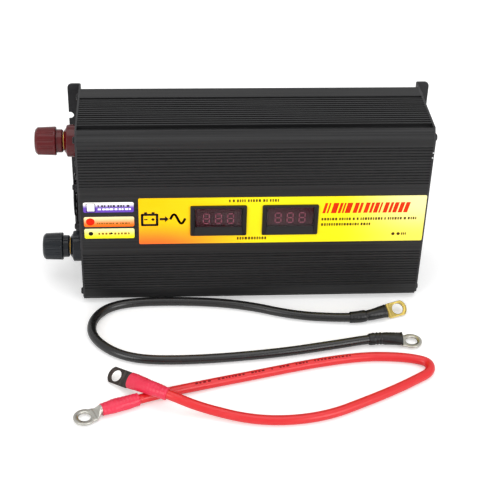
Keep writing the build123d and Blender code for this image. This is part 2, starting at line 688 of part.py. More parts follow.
SWITCH_Y = Y_MID - 18.0
PIVOT_X = X_AC + SWITCH_PROUD - 1.2
with BuildPart() as switch:
    with BuildSketch(end_plane(X_AC)):
        with Locations((SWITCH_Y, SWITCH_Z)):
            RectangleRounded(*SWITCH_FACE, 1.0)
    extrude(amount=SWITCH_PROUD)
    with BuildSketch(end_plane(X_AC - SWITCH_DEPTH)):
        with Locations((SWITCH_Y, SWITCH_Z)):
            Rectangle(*SWITCH_BODY)
    extrude(amount=SWITCH_DEPTH)
    with BuildSketch(end_plane(X_AC + SWITCH_PROUD)):
        with Locations((SWITCH_Y, SWITCH_Z)):
            Rectangle(10.4, 17.8)
    extrude(amount=-8.0, mode=Mode.SUBTRACT)
    with BuildSketch(front_plane(SWITCH_Y)):
        with Locations((PIVOT_X, SWITCH_Z)):
            Circle(ROCKER_PIN_R + STUD_RUN)
    extrude(amount=6.1, both=True, mode=Mode.SUBTRACT)
save(switch, "switch_housing")

ROCKER_SHAPE = ((-3.4, 2.6), (-1.6, 7.9), (2.9, 8.1), (1.5, 0.0), (2.9, -8.1), (-1.6, -7.9), (-3.4, -2.6))
tilt = radians(-ROCKER_ANGLE)
rocker_points = [(PIVOT_X + u * cos(tilt) - v * sin(tilt), SWITCH_Z + u * sin(tilt) + v * cos(tilt))
                 for u, v in ROCKER_SHAPE]
with BuildPart() as rocker:
    with BuildSketch(front_plane(SWITCH_Y)):
        with BuildLine():
            Polyline(*rocker_points, close=True)
        make_face()
    extrude(amount=4.9, both=True)
    with BuildSketch(front_plane(SWITCH_Y)):
        with Locations((PIVOT_X, SWITCH_Z)):
            Circle(ROCKER_PIN_R)
    extrude(amount=6.0, both=True)
save(rocker, "switch_rocker")

with BuildPart() as usb:
    with BuildSketch(end_plane(X_AC - 14.0)):
        with Locations((Y_MID + 22, SWITCH_Z)):
            Rectangle(5.6, 13.2)
    extrude(amount=14.6)
    with BuildSketch(end_plane(X_AC + 0.6)):
        with Locations((Y_MID + 22, SWITCH_Z)):
            Rectangle(4.6, 12.2)
    extrude(amount=-12.0, mode=Mode.SUBTRACT)
    with BuildSketch(end_plane(X_AC - 11.6)):
        with Locations((Y_MID + 22 + 1.1, SWITCH_Z)):
            Rectangle(1.6, 10.4)
    extrude(amount=10.8)
save(usb, "usb_port")

for node, dz in (("power_lamp", 5.0), ("fault_lamp", -5.0)):
    lamp_z = SWITCH_Z + dz
    with BuildPart() as lamp:
        with BuildSketch(end_plane(X_AC - 6.0)):
            with Locations((Y_MID + 2, lamp_z)):
                Circle(2.5)
        extrude(amount=8.4)
        fillet(lamp.edges().filter_by(GeomType.CIRCLE).sort_by(Axis.X)[-1], 1.6)
    save(lamp, node)

# ================================================================ main board and its parts
board_length = BOARD_X1 - BOARD_X0
board_x = (BOARD_X0 + BOARD_X1) / 2
board_height = CASE_HEIGHT - 2 * BOARD_EDGE
standoff_grid = (board_length - 12.0, board_height - 12.0)


def board_grid():
    """Six fixing places of the main board."""
    return GridLocations(standoff_grid[0] / 2, standoff_grid[1], 3, 2)


with BuildPart() as board:
    with BuildSketch(front_plane(Y_BOARD)):
        with Locations((board_x, Z_MID)):
            Rectangle(board_length, board_height)
            with board_grid():
                Circle(1.7, mode=Mode.SUBTRACT)
    extrude(amount=BOARD_THICK)
save(board, "main_board")

with BuildPart() as fixings:
    with BuildSketch(front_plane(Y_BACK - TRAY_WALL)):
        with Locations((board_x, Z_MID)):
            with board_grid():
                RegularPolygon(3.2, 6)
                Circle(1.5, mode=Mode.SUBTRACT)
    extrude(amount=STANDOFF)
    with BuildSketch(front_plane(Y_BOARD_FRONT)):
        with Locations((board_x, Z_MID)):
            with board_grid():
                Circle(2.8)
    extrude(amount=1.8)
    with BuildSketch(front_plane(Y_BOARD_FRONT)):
        with Locations((board_x, Z_MID)):
            with board_grid():
                Circle(1.3)
    extrude(amount=-6.0)
save(fixings, "board_fixings")

CORE = (54.0, 54.0, 20.0)
CORE_LEG = 16.0
CORE_WINDOW = (12.0, 36.0)
CORE_XS = (board_x - 34.0, board_x + 34.0)
Y_CORE = Y_BOARD_FRONT - 22.0
with BuildPart() as cores:
    with BuildSketch(front_plane(Y_CORE)):
        with Locations(*[(x, Z_MID) for x in CORE_XS]):
            Rectangle(CORE[0], CORE[1])
            with GridLocations(CORE_LEG + CORE_WINDOW[0], 1, 2, 1):
                Rectangle(*CORE_WINDOW, mode=Mode.SUBTRACT)
    extrude(amount=CORE[2] / 2, both=True)
save(cores, "transformer_cores")

with BuildPart() as windings:
    with BuildSketch(Plane.XY.offset(Z_MID - CORE_WINDOW[1] / 2 + 0.5)):
        with Locations(*[(x, Y_CORE) for x in CORE_XS]):
            RectangleRounded(CORE_LEG + 2 * CORE_WINDOW[0] - 1.0, CORE[2] + 19.0, 7.0)
            Rectangle(CORE_LEG + 2 * FIT, CORE[2] + 2 * FIT, mode=Mode.SUBTRACT)
    extrude(amount=CORE_WINDOW[1] - 1.0)
save(windings, "transformer_windings")

CAP_R = 8.0
with BuildPart() as capacitors:
    with BuildSketch(front_plane(Y_BOARD_FRONT)):
        with Locations((BOARD_X0 + 14.0, Z_MID)):
            with GridLocations(1, 20.0, 1, 6):
                Circle(CAP_R)
        with Locations((BOARD_X1 - 22.0, Z_MID + 30.0)):
            Circle(15.0)
    extrude(amount=30.0)
    rims = capacitors.edges().filter_by(GeomType.CIRCLE).filter_by(
        lambda edge: abs(edge.center().Y - Y_BOARD_FRONT + 30.0) < 0.01)
    fillet(rims, 1.0)
save(capacitors, "capacitors")

DEVICE = (15.6, 21.0, 4.8)
DEVICE_PITCH = 19.0
DEVICE_COUNT = 8
LEG_PITCH = 5.4
LEG = 1.2
Y_DEVICE_END = Y_SEAM - TONGUE - 2.0
Y_DEVICE = Y_DEVICE_END - DEVICE[1] / 2
DEVICE_X = board_x - 10.0
LEG_RISE = TONGUE_THICK + FIT + 1.0        # legs step inwards over the tray's tongue


def leg_places():
    """Places of the three legs of every device in one row."""
    first = -(DEVICE_COUNT - 1) / 2
    return [DEVICE_X + (first + i) * DEVICE_PITCH + leg * LEG_PITCH
            for i in range(DEVICE_COUNT) for leg in (-1, 0, 1)]


with BuildPart() as transistors:
    for edge, inward in SIDES:
        face = edge + inward * SIDE_WALL
        with BuildSketch(Plane.XY.offset(face)):
            with Locations((DEVICE_X, Y_DEVICE)):
                with GridLocations(DEVICE_PITCH, 1, DEVICE_COUNT, 1):
                    Rectangle(DEVICE[0], DEVICE[1])
        extrude(amount=inward * DEVICE[2])
        with BuildSketch(Plane.XY.offset(face + inward * 2.0)):
            with Locations(*[(x, Y_DEVICE_END + LEG / 2) for x in leg_places()]):
                Rectangle(LEG, LEG)
        extrude(amount=inward * (LEG_RISE + LEG - 2.0 + 0.6))
        with BuildSketch(front_plane(Y_BOARD_FRONT)):
            with Locations(*[(x, face + inward * (LEG_RISE + 0.6 + LEG / 2)) for x in leg_places()]):
                Rectangle(LEG, LEG)
        extrude(amount=Y_BOARD_FRONT - Y_DEVICE_END)
save(transistors, "transistors")

with BuildPart() as clamp_bars:
    for edge, inward in SIDES:
        with BuildSketch(Plane.XY.offset(edge + inward * (SIDE_WALL + DEVICE[2]))):
            with Locations((DEVICE_X, Y_DEVICE - 3.0)):
                RectangleRounded(DEVICE_PITCH * DEVICE_COUNT + 8.0, 9.0, 1.5)
        extrude(amount=inward * 3.0)
save(clamp_bars, "clamp_bars")

CHOKE_AT = (BOARD_X1 - 20.0, Z_MID - 22.0)
with BuildPart() as choke:
    with BuildSketch(front_plane(Y_BOARD_FRONT)):
        with Locations(CHOKE_AT):
            Circle(17.0)
            Circle(7.0, mode=Mode.SUBTRACT)
    extrude(amount=14.0)
    fillet(choke.edges().filter_by(GeomType.CIRCLE), 3.5)
save(choke, "output_choke")

with BuildPart() as busbars:
    for z in (POST_TOP_Z, POST_BOTTOM_Z):
        bar_x = X_IN_DC + 1.6 + 6.0
        with BuildSketch(end_plane(bar_x)):
            with Locations((Y_MID + 8.0, z)):
                Rectangle(32.0, 14.0)
            with Locations((Y_MID, z)):
                Circle(STUD_R + STUD_RUN, mode=Mode.SUBTRACT)
        extrude(amount=2.0)
        with BuildSketch(front_plane(Y_MID + 24.0)):
            with Locations(((bar_x + BOARD_X0 + 5.0) / 2, z)):
                Rectangle(BOARD_X0 + 5.0 - bar_x, 14.0)
        extrude(amount=2.0)
        with BuildSketch(front_plane(Y_BOARD_FRONT)):
            with Locations((BOARD_X0 + 3.0, z)):
                Rectangle(4.0, 10.0)
        extrude(amount=Y_BOARD_FRONT - Y_MID - 24.0)
save(busbars, "dc_busbars")

with BuildPart() as fuses:
    with BuildSketch(front_plane(Y_BOARD_FRONT)):
        with Locations((BOARD_X0 + 34.0, Z_MID)):
            with GridLocations(1, 21.0, 1, 6):
                Rectangle(5.0, 19.0)
    extrude(amount=14.0)
save(fuses, "blade_fuses")

with BuildPart() as control:
    with BuildSketch(end_plane(BOARD_X1 - 46.0)):
        with Locations((Y_BOARD_FRONT - 15.0, Z_MID + 34.0)):
            Rectangle(30.0, 34.0)
    extrude(amount=1.6)
    with BuildSketch(end_plane(BOARD_X1 - 46.0)):
        with Locations((Y_BOARD_FRONT - 16.0, Z_MID + 34.0)):
            Rectangle(9.0, 20.0)
    extrude(amount=-1.8)
save(control, "control_board")


# ================================================================ battery leads
def lug_plane(route, at_start, roll):
    """Plane at a barrel's start: x runs on towards the ring, z is the tongue's upper normal."""
    if at_start:
        start, inner = Vector(route[0]), Vector(route[1])
    else:
        start, inner = Vector(route[-1]), Vector(route[-2])
    ahead = (start - inner).normalized()
    level = Vector(-ahead.Y, ahead.X, 0).normalized()
    upright = ahead.cross(level).rotate(Axis((0, 0, 0), ahead), roll)
    return Plane(origin=start, x_dir=ahead, z_dir=upright)


def make_lead(colour, route, ends):
    """One lead: the tube, and a ring lug and a shrink sleeve at each end."""
    points = [Vector(point) for point in route]
    radii = []
    for before, at, after in zip(points, points[1:], points[2:]):
        turn = (at - before).get_angle(after - at)
        shorter = min((at - before).length, (after - at).length)
        half = radians(turn / 2)
        radii.append(0.45 * shorter * cos(half) / sin(half))
    with BuildPart() as tube:
        with BuildLine() as path:
            FilletPolyline(*points, radius=radii)
        with BuildSketch(Plane(origin=path.line @ 0, z_dir=path.line % 0)):
            Circle(CABLE_R)
        sweep()
    length = path.wires()[0].length
    print(colour, "lead: length", round(length, 1), "radii", [round(radius) for radius in radii])
    print("   volume over section times length", round(tube.part.volume / (pi * CABLE_R ** 2 * length), 4))
    save(tube, f"{colour}_lead")

    for end, at_start, roll, cover_length, barrel, gap, tip, half in ends:
        frame = lug_plane(route, at_start, roll)
        reach = barrel + gap
        with BuildPart() as lug:
            with BuildSketch(Plane(origin=frame.origin, x_dir=frame.z_dir, z_dir=frame.x_dir)):
                Circle(BARREL_R)
            extrude(amount=barrel)
            with BuildSketch(frame.offset(LUG_THICK - BARREL_R)):
                with Locations((reach, 0)):
                    Circle(tip)
                    Rectangle(4 * tip, 2 * half, mode=Mode.INTERSECT)
                if half < tip:
                    with Locations(((barrel + LUG_STEP + reach) / 2, 0)):
                        Rectangle(reach - barrel - LUG_STEP, 2 * half)
                with Locations(((barrel - BARREL_BARE + reach) / 2, 0)):
                    Rectangle(reach - barrel + BARREL_BARE, 1.5 * BARREL_R)
                with Locations((reach, 0)):
                    Circle(RING_HOLE_R, mode=Mode.SUBTRACT)
            extrude(amount=-LUG_THICK)
        save(lug, f"{colour}_lug_{end}")
        back = frame.origin - frame.x_dir * cover_length
        with BuildPart() as sleeve:
            with BuildSketch(Plane(origin=back, x_dir=frame.z_dir, z_dir=frame.x_dir)):
                Circle(SLEEVE_R)
                Circle(BARREL_R + FIT, mode=Mode.SUBTRACT)
            extrude(amount=cover_length + barrel - BARREL_BARE)
        save(sleeve, f"{colour}_sleeve_{end}")
        centre = frame.origin + frame.x_dir * reach - frame.z_dir * (BARREL_R - LUG_THICK / 2)
        print("   ring", end, [round(v, 2) for v in tuple(centre)],
              "normal", [round(v, 4) for v in tuple(frame.z_dir)])


# each end: which, at the route's start, roll, sleeve on the cable, barrel, barrel to ring, ring's outer radius, half width
make_lead("black", BLACK_ROUTE, (("far", True, 33.5, 6.5, SHORT_BARREL, RING_GAP, STRIP_TIP_R, STRIP_HALF),
                                 ("near", False, 0.0, 7.5, BARREL, RING_GAP, RING_R, RING_R)))
make_lead("red", RED_ROUTE, (("raised", True, -35.6, 15.5, SHORT_BARREL, STRIP_GAP, STRIP_TIP_R, STRIP_HALF),
                             ("flat", False, 0.0, 18.0, BARREL, RING_GAP, RING_R, RING_R)))
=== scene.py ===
# %% [markdown]
# # Looks for a 12 V power inverter and its two battery leads
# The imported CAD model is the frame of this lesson. It already has the case, the plates,
# the posts and everything inside at real size, in metres, so nothing is placed by eye.
# Here it gets a camera, flexible cables, heat-shrink sleeves, crimped lugs, finishes
# and the printed marks on its label.

import math
import random

import bmesh
import bpy
from mathutils import Matrix, Vector


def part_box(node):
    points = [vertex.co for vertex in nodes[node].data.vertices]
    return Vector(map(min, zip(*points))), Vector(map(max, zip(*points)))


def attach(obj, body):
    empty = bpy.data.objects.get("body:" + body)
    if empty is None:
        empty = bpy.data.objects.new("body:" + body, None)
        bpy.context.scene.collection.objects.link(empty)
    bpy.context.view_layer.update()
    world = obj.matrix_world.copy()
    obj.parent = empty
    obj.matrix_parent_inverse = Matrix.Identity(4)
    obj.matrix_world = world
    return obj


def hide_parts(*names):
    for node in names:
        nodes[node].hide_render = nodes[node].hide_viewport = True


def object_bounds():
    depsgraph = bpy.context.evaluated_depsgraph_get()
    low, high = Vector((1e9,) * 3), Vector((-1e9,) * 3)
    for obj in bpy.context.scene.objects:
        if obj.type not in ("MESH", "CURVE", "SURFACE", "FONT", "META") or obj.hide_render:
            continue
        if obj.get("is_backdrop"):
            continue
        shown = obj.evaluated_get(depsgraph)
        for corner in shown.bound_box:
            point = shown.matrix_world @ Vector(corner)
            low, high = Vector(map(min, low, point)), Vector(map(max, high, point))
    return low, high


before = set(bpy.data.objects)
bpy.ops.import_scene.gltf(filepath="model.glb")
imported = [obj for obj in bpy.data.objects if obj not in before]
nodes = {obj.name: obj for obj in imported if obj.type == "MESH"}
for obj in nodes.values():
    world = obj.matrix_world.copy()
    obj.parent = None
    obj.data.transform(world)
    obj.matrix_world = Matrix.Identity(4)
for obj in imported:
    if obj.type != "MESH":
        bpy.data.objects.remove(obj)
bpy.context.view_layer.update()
scene = bpy.context.scene
MM = 0.001

# %% [markdown]
# ## Colour handling
# Blender's usual film-like view softens strong colours to pastel. Shop pictures of printed
# labels keep them pure, so the plain view is used here, and the lights are kept low enough
# that nothing but the floor reaches full white.

# %% Colour handling
scene.view_settings.view_transform = "Standard"
print("view transform:", scene.view_settings.view_transform)

# %% [markdown]
# ## Camera
# A camera object looks along its own -Z axis with +Y up. Writing its three axes into a
# matrix fixes yaw, dip and a slight roll in one go, which is more exact than turning it
# by hand. The lens is long, so the case keeps nearly parallel edges.

# %% Camera
turn, dip, lean = (math.radians(angle) for angle in (4.488, 34.138, 1.742))
CAMERA_PLACE = (-0.0673, -0.9192, 0.6607)
FOCAL_LENGTH, SENSOR_WIDTH = 91.27, 36
ahead = Vector((math.sin(turn) * math.cos(dip), math.cos(turn) * math.cos(dip), -math.sin(dip)))
level = Vector((math.cos(turn), -math.sin(turn), 0))
over = level.cross(ahead)
right = math.cos(lean) * level + math.sin(lean) * over
upward = -math.sin(lean) * level + math.cos(lean) * over
lens = bpy.data.cameras.new("studio_camera")
lens.lens, lens.sensor_width = FOCAL_LENGTH, SENSOR_WIDTH
lens.clip_start, lens.clip_end = 0.05, 50
camera = bpy.data.objects.new("studio_camera", lens)
scene.collection.objects.link(camera)
camera.matrix_world = Matrix(
    ((right.x, upward.x, -ahead.x, CAMERA_PLACE[0]),
     (right.y, upward.y, -ahead.y, CAMERA_PLACE[1]),
     (right.z, upward.z, -ahead.z, CAMERA_PLACE[2]), (0, 0, 0, 1)))
scene.camera = camera
print("camera looks along", [round(v, 3) for v in ahead])

# %% [markdown]
# ## Battery cables
# A cable is a fixed length of something flexible. A NURBS curve with a few control points
# and a round bevel makes it: the spline runs smoothly past its points and can't kink.
# The order and the end points are set after the points are added, because on a spline
# with no points they have no effect. The bevel is multiplied by each point's radius, and
# Blender's own box round a curve is as wide as that radius, so the cable's real radius goes
# into its points and the bevel is 1. The line is read back before the bevel is given, so
# sleeves and printed dashes can follow the true centre of the cable.

# %% Cable curves
BLACK_ROUTE = (
    (0.1238, -0.0748, 0.0065), (0.1123, -0.0779, 0.0054), (0.0920, -0.0789, 0.0048),
    (0.0500, -0.0738, 0.0043), (0.0040, -0.0555, 0.0041), (-0.0500, -0.0488, 0.0041),
    (-0.1080, -0.0505, 0.0041), (-0.1290, -0.0730, 0.0041), (-0.1270, -0.1020, 0.0041),
    (-0.0970, -0.1288, 0.0041), (-0.0450, -0.1320, 0.0041), (0.0250, -0.1256, 0.0041),
    (0.0775, -0.1166, 0.0050), (0.1140, -0.1093, 0.0056), (0.1222, -0.1096, 0.0057))
RED_ROUTE = (
    (-0.0883, -0.1695, 0.0133), (-0.0652, -0.1897, 0.0191), (-0.0369, -0.1941, 0.0065),
    (0.0091, -0.2089, 0.0041), (0.0590, -0.2060, 0.0041), (0.1030, -0.1845, 0.0041),
    (0.1270, -0.1715, 0.0041), (0.1425, -0.1618, 0.0041), (0.1558, -0.1532, 0.0041),
    (0.1570, -0.1410, 0.0041), (0.1452, -0.1356, 0.0041), (0.1272, -0.1324, 0.0041),
    (0.1002, -0.1316, 0.0041), (0.0591, -0.1389, 0.0041), (0.0117, -0.1515, 0.0041),
    (-0.0307, -0.1625, 0.0041), (-0.0747, -0.1756, 0.0052), (-0.1062, -0.1884, 0.0057))
CABLE_RADIUS = 0.004
CURVE_STEPS, BEVEL_STEPS = 16, 7


def cable(name, route):
    curve = bpy.data.curves.new(name, "CURVE")
    curve.dimensions = "3D"
    spline = curve.splines.new("NURBS")
    spline.points.add(len(route) - 1)
    for point, place in zip(spline.points, route):
        point.co = (*place, 1)
        point.radius = CABLE_RADIUS
    spline.order_u = 3
    spline.use_endpoint_u = True
    spline.resolution_u = CURVE_STEPS
    lead = bpy.data.objects.new(name, curve)
    scene.collection.objects.link(lead)
    bare = bpy.data.meshes.new_from_object(lead)
    line = [v.co.copy() for v in bare.vertices]
    curve.bevel_depth, curve.bevel_resolution, curve.use_fill_caps = 1.0, BEVEL_STEPS, True
    length = sum((b - a).length for a, b in zip(line, line[1:]))
    print(name, "is", round(length, 4), "m long, read at", len(line), "points")
    return lead, line


black_cable, black_line = cable("black_battery_cable", BLACK_ROUTE)
red_cable, red_line = cable("red_battery_cable", RED_ROUTE)

# %% [markdown]
# ## Turning lists into meshes
# Sleeves, lugs and blades are all lofts: rings of points joined by faces. `skin` makes the
# faces, and `build` turns any list of points and faces into an object, with its normals
# made to point outward by bmesh.

# %% Mesh helpers
def build(name, points, faces, smooth=True):
    shape = bmesh.new()
    corners = [shape.verts.new(p) for p in points]
    for face in faces:
        shape.faces.new([corners[i] for i in face])
    bmesh.ops.recalc_face_normals(shape, faces=shape.faces)
    mesh = bpy.data.meshes.new(name)
    shape.to_mesh(mesh)
    shape.free()
    for polygon in mesh.polygons:
        polygon.use_smooth = smooth
    piece = bpy.data.objects.new(name, mesh)
    scene.collection.objects.link(piece)
    return piece


def skin(rings, closed=False, first=0):
    count, total = len(rings[0]), len(rings)
    points = [p for ring in rings for p in ring]
    faces = []
    for k in range(total if closed else total - 1):
        a, b = first + k * count, first + (k + 1) % total * count
        faces += [(a + i, a + (i + 1) % count, b + (i + 1) % count, b + i) for i in range(count)]
    if not closed:
        faces += [tuple(first + i for i in reversed(range(count))),
                  tuple(first + (total - 1) * count + i for i in range(count))]
    return points, faces


def between(table, at):
    """Smoothly reads a row of numbers at a distance, from rows of (distance, numbers...)."""
    if at <= table[0][0]:
        return table[0][1:]
    for low, high in zip(table, table[1:]):
        if at <= high[0]:
            share = (at - low[0]) / (high[0] - low[0])
            share = share * share * (3 - 2 * share)
            return tuple(a + (b - a) * share for a, b in zip(low[1:], high[1:]))
    return table[-1][1:]


# %% [markdown]
# ## Crimped ring lugs
# A ring lug is a piece of copper tube, pressed flat past the wire and punched with a hole.
# Each cable end gives the lug its own axes: ahead along the cable, level across it and
# upright, turned by a roll where the lug lies tilted. The barrel is a loft from a round
# tube to a flat tongue. The ring is a small rounded profile carried round the hole, further
# out towards the barrel, so that it keeps an even thickness.

# %% Lug axes and shape
# In millimetres: the tube's radius, how far the strip lies under the tube's middle, where
# the strip starts before the hole's middle, its half width there, and the hole's shoulder.
TUBE_RADIUS, STRIP_DROP, STRIP_START, STRIP_HALF = 4.1, 3.2, 6.5, 7.1
SHOULDER_HALF, SHOULDER_REACH = 7.2, 8.8
TUBE_SIDES, RING_SIDES = 40, 96
NEARLY_ZERO = 1e-6


def end_axes(line, at_start, roll):
    end, before = (line[0], line[1]) if at_start else (line[-1], line[-2])
    ahead = (end - before).normalized()
    level = Vector((-ahead.y, ahead.x, 0)).normalized()
    upright = ahead.cross(level)
    turned = Matrix.Rotation(math.radians(roll), 3, ahead)
    return end, ahead, turned @ level, turned @ upright


def lug(name, axes, barrel, reach, tip, half):
    end, ahead, level, upright = axes

    def place(a, b, c):
        return end + ahead * a * MM + level * b * MM + upright * c * MM

    # half width, half height, drop and squareness of the pressed tube
    strip = min(half, STRIP_HALF)
    table = ((-2, TUBE_RADIUS, TUBE_RADIUS, 0, 2), (barrel - 1, TUBE_RADIUS, TUBE_RADIUS, 0, 2),
             (barrel + 0.6, 4.9, 3.0, 1.1, 2.2), (barrel + 2.0, 6.2, 1.5, 2.6, 2.6),
             (barrel + 3.2, strip, 0.92, 3.18, 4), (reach - STRIP_START, strip, 0.88, STRIP_DROP,
                                                    8))
    stations = [-2, barrel - 1] + [barrel - 1 + 0.4 * k for k in range(1, 12)]
    stations.append(reach - STRIP_START)
    rings = []
    for at in stations:
        wide, high, drop, square = between(table, at)
        ring = []
        for k in range(TUBE_SIDES):
            angle = math.tau * k / TUBE_SIDES
            c, s = math.cos(angle), math.sin(angle)
            across = math.copysign(abs(c) ** (2 / square), c) * wide
            rise = math.copysign(abs(s) ** (2 / square), s) * high
            ring.append(place(at, across, rise - drop))
        rings.append(ring)
    points, faces = skin(rings)
    loops = []
    for k in range(RING_SIDES):
        angle = math.tau * k / RING_SIDES
        c, s = math.cos(angle), math.sin(angle)
        slope = max(abs(s), NEARLY_ZERO)
        outer = min(tip, half / slope)
        if c < 0:
            outer = max(outer, min(min(half, SHOULDER_HALF) / slope, SHOULDER_REACH / -c))
        profile = ((5.35, -0.9), (5.0, -0.55), (5.0, 0.55), (5.35, 0.9), (outer - 0.5, 0.9),
                   (outer - 0.12, 0.72), (outer, 0.3), (outer, -0.3), (outer - 0.12, -0.72),
                   (outer - 0.5, -0.9))
        loops.append([place(reach + c * r, s * r, h - STRIP_DROP) for r, h in profile])
    more, ring_faces = skin(loops, closed=True, first=len(points))
    return build(name, points + more, faces + ring_faces)


# %% Four lugs
black_corners, red_corners = [[Vector(p) for p in route] for route in (BLACK_ROUTE, RED_ROUTE)]
LUGS = {  # axes, barrel length, hole distance, outer radius and half width
    "black_far": (end_axes(black_corners, True, 33.5), 7, 19, 8.4, 7.0),
    "black_near": (end_axes(black_corners, False, 0), 13, 25, 9.0, 9.0),
    "red_raised": (end_axes(red_corners, True, -35.6), 7, 25, 8.4, 7.0),
    "red_flat": (end_axes(red_corners, False, 0), 13, 25, 9.0, 9.0)}
lugs = {name: lug(name + "_lug", *sizes) for name, sizes in LUGS.items()}
for name, piece in lugs.items():
    print(name, "lug has", len(piece.data.polygons), "faces")

# %% [markdown]
# ## Heat-shrink sleeves
# Heat-shrink starts as a wide tube. Where it grips the cable it is round and tight, and
# over the pressed lug it sets wide and flat, with shallow wrinkles across it. So the
# sleeve is a loft of ovals whose width, height and drop come from a short table, read at
# each distance along the cable and on over the lug. Random wrinkles are seeded, so that
# every run makes the same sleeve. A point that would sink into the floor rests on it.

# %% Sleeves
SLEEVE_STEP, SLEEVE_STEP_METRES = 0.6, 0.0006
SLEEVE_SIDES = 36
FLOOR_CLEARANCE = 0.00012
LIP = 0.16


def sleeve(name, line, at_start, axes, table, seed, ridges):
    end, ahead, level, upright = axes
    chance = random.Random(seed)
    path = line if at_start else line[::-1]
    reach, walked = -table[0][0] * MM, 0.0
    spots = []
    for a, b in zip(path, path[1:]):
        step = (b - a).length
        pieces = max(1, round(step / SLEEVE_STEP_METRES))
        for k in range(pieces):
            passed = walked + step * k / pieces
            if passed <= reach:
                spots.append((-passed / MM, a.lerp(b, k / pieces), (a - b).normalized()))
        walked += step
        if walked > reach:
            break
    spots = spots[::-1]
    at = SLEEVE_STEP
    while at <= table[-1][0]:
        spots.append((at, end + ahead * at * MM, ahead))
        at += SLEEVE_STEP
    wobble = [chance.uniform(-1, 1) for _ in range(12)]
    rings = []
    for at, middle, along in spots:
        wide, high, drop = between(table, at)
        swell = ridges * (math.sin(at * 2.1 + wobble[0]) * 0.6
                          + math.sin(at * 3.7 + wobble[1] * 3) * 0.4)
        side = (level - along * level.dot(along)).normalized()
        rise = along.cross(side)
        ring = []
        for k in range(SLEEVE_SIDES):
            angle = math.tau * k / SLEEVE_SIDES
            dent = 1 + 0.012 * math.sin(3 * angle + at * 0.35 + wobble[2]) \
                + 0.008 * math.sin(5 * angle - at * 0.5)
            crease = swell * (0.5 + 0.5 * math.sin(angle + wobble[3]))
            point = middle + side * math.cos(angle) * (wide * dent + crease) * MM \
                + rise * (math.sin(angle) * (high * dent + crease) - drop) * MM
            point.z = max(point.z, FLOOR_CLEARANCE)
            ring.append(point)
        rings.append(ring)
    lip = [[p.lerp(sum(ring, Vector()) / len(ring), LIP) for p in ring]
           for ring in (rings[0], rings[-1])]
    print(name, "has", len(rings), "rings")
    return build(name, *skin([lip[0]] + rings + [lip[1]]))


# Rows of distance, half width, half height and drop in millimetres, then a seed and the
# height of the wrinkles. The far and near sleeves of the black lead have pinched folds.
SLEEVES = {
    "black_far": (black_line, True, (
        (-27, 4.35, 4.35, 0), (-26.4, 5.0, 5.0, 0), (-15, 5.3, 5.3, 0), (-12.4, 5.2, 5.1, 0),
        (-11.4, 4.4, 4.3, 0), (-9.4, 4.8, 4.8, 0), (-3, 5.1, 4.9, 0), (3, 5.6, 4.7, 0),
        (7.4, 6.1, 4.3, 0.2)), 3, 0.12),
    "black_near": (black_line, False, (
        (-13, 4.35, 4.35, 0), (-12.4, 5.0, 5.0, 0), (-8, 5.4, 5.3, 0), (-6.4, 4.9, 4.8, 0),
        (-5, 5.4, 5.3, 0), (-3.6, 4.9, 4.8, 0), (-2.2, 5.4, 5.3, 0), (-0.8, 5.0, 4.9, 0),
        (2, 5.7, 5.2, 0.1), (9, 6.1, 4.9, 0.3), (15.4, 6.7, 4.6, 0.7), (17, 7.6, 4.9, 0.9)),
        5, 0.16),
    "red_raised": (red_line, True, (
        (-31, 4.4, 4.4, 0), (-30.2, 5.3, 5.2, 0), (-14, 5.9, 5.3, 0), (-4, 6.4, 5.1, 0),
        (3, 6.8, 4.8, 0.2), (7.2, 6.9, 4.6, 0.3)), 7, 0.16),
    "red_flat": (red_line, False, (
        (-21, 4.4, 4.4, 0), (-20.2, 5.4, 5.1, 0), (-10, 6.1, 5.2, 0), (0, 6.5, 5.1, 0),
        (6, 5.9, 4.6, 0.1), (10.8, 5.5, 4.4, 0.2)), 11, 0.2)}
sleeves = {name: sleeve(name + "_sleeve", line, at_start, LUGS[name][0], table, seed, ridges)
           for name, (line, at_start, table, seed, ridges) in SLEEVES.items()}

# %% [markdown]
# ## Printed dashes on the red cable
# The jacket has a faint row of printing along it. Here it is a row of plain dashes: each
# is a small patch bent over the round jacket, a hair above its surface, so it needs no
# picture and stays put when the cable moves.

# %% Dashes
PRINT_LIFT = 0.00006
DASH_ANGLES = (-11, -4, 4, 11)


def jacket_dashes(name, line, start, stop, turn, seed):
    chance = random.Random(seed)
    walked, points, faces = 0.0, [], []
    at = start
    ends = []
    while at < stop:
        size = chance.uniform(0.0009, 0.0026)
        ends.append((at, at + size))
        at += size + (chance.uniform(0.0009, 0.0016) if chance.random() < 0.8 else 0.006)
    stations = [0.0]
    for a, b in zip(line, line[1:]):
        stations.append(stations[-1] + (b - a).length)

    def spot(distance):
        k = max(i for i, d in enumerate(stations[:-1]) if d <= distance)
        share = (distance - stations[k]) / (stations[k + 1] - stations[k])
        return line[k].lerp(line[k + 1], share), (line[k + 1] - line[k]).normalized()

    for low, high in ends:
        first = len(points)
        for distance in (low, (low + high) / 2, high):
            middle, along = spot(distance)
            side = Vector((-along.y, along.x, 0)).normalized()
            rise = along.cross(side)
            for offset in DASH_ANGLES:
                a = math.radians(turn + offset)
                outward = rise * math.cos(a) + side * math.sin(a)
                points.append(middle + outward * (CABLE_RADIUS + PRINT_LIFT))
        for row in (0, 1):
            for corner in range(first + row * 4, first + row * 4 + 3):
                faces.append((corner, corner + 1, corner + 5, corner + 4))
    print(name, "has", len(ends), "dashes")
    return build(name, points, faces)


red_dashes = jacket_dashes("red_cable_dashes", red_line, 0.345, 0.480, 14, 21)

# %% [markdown]
# ## Telling the frame what the cables are
# Both leads are loose parts: each rides on its own CAD body, with its lugs and sleeves,
# and stands for the CAD solids of the same shape.

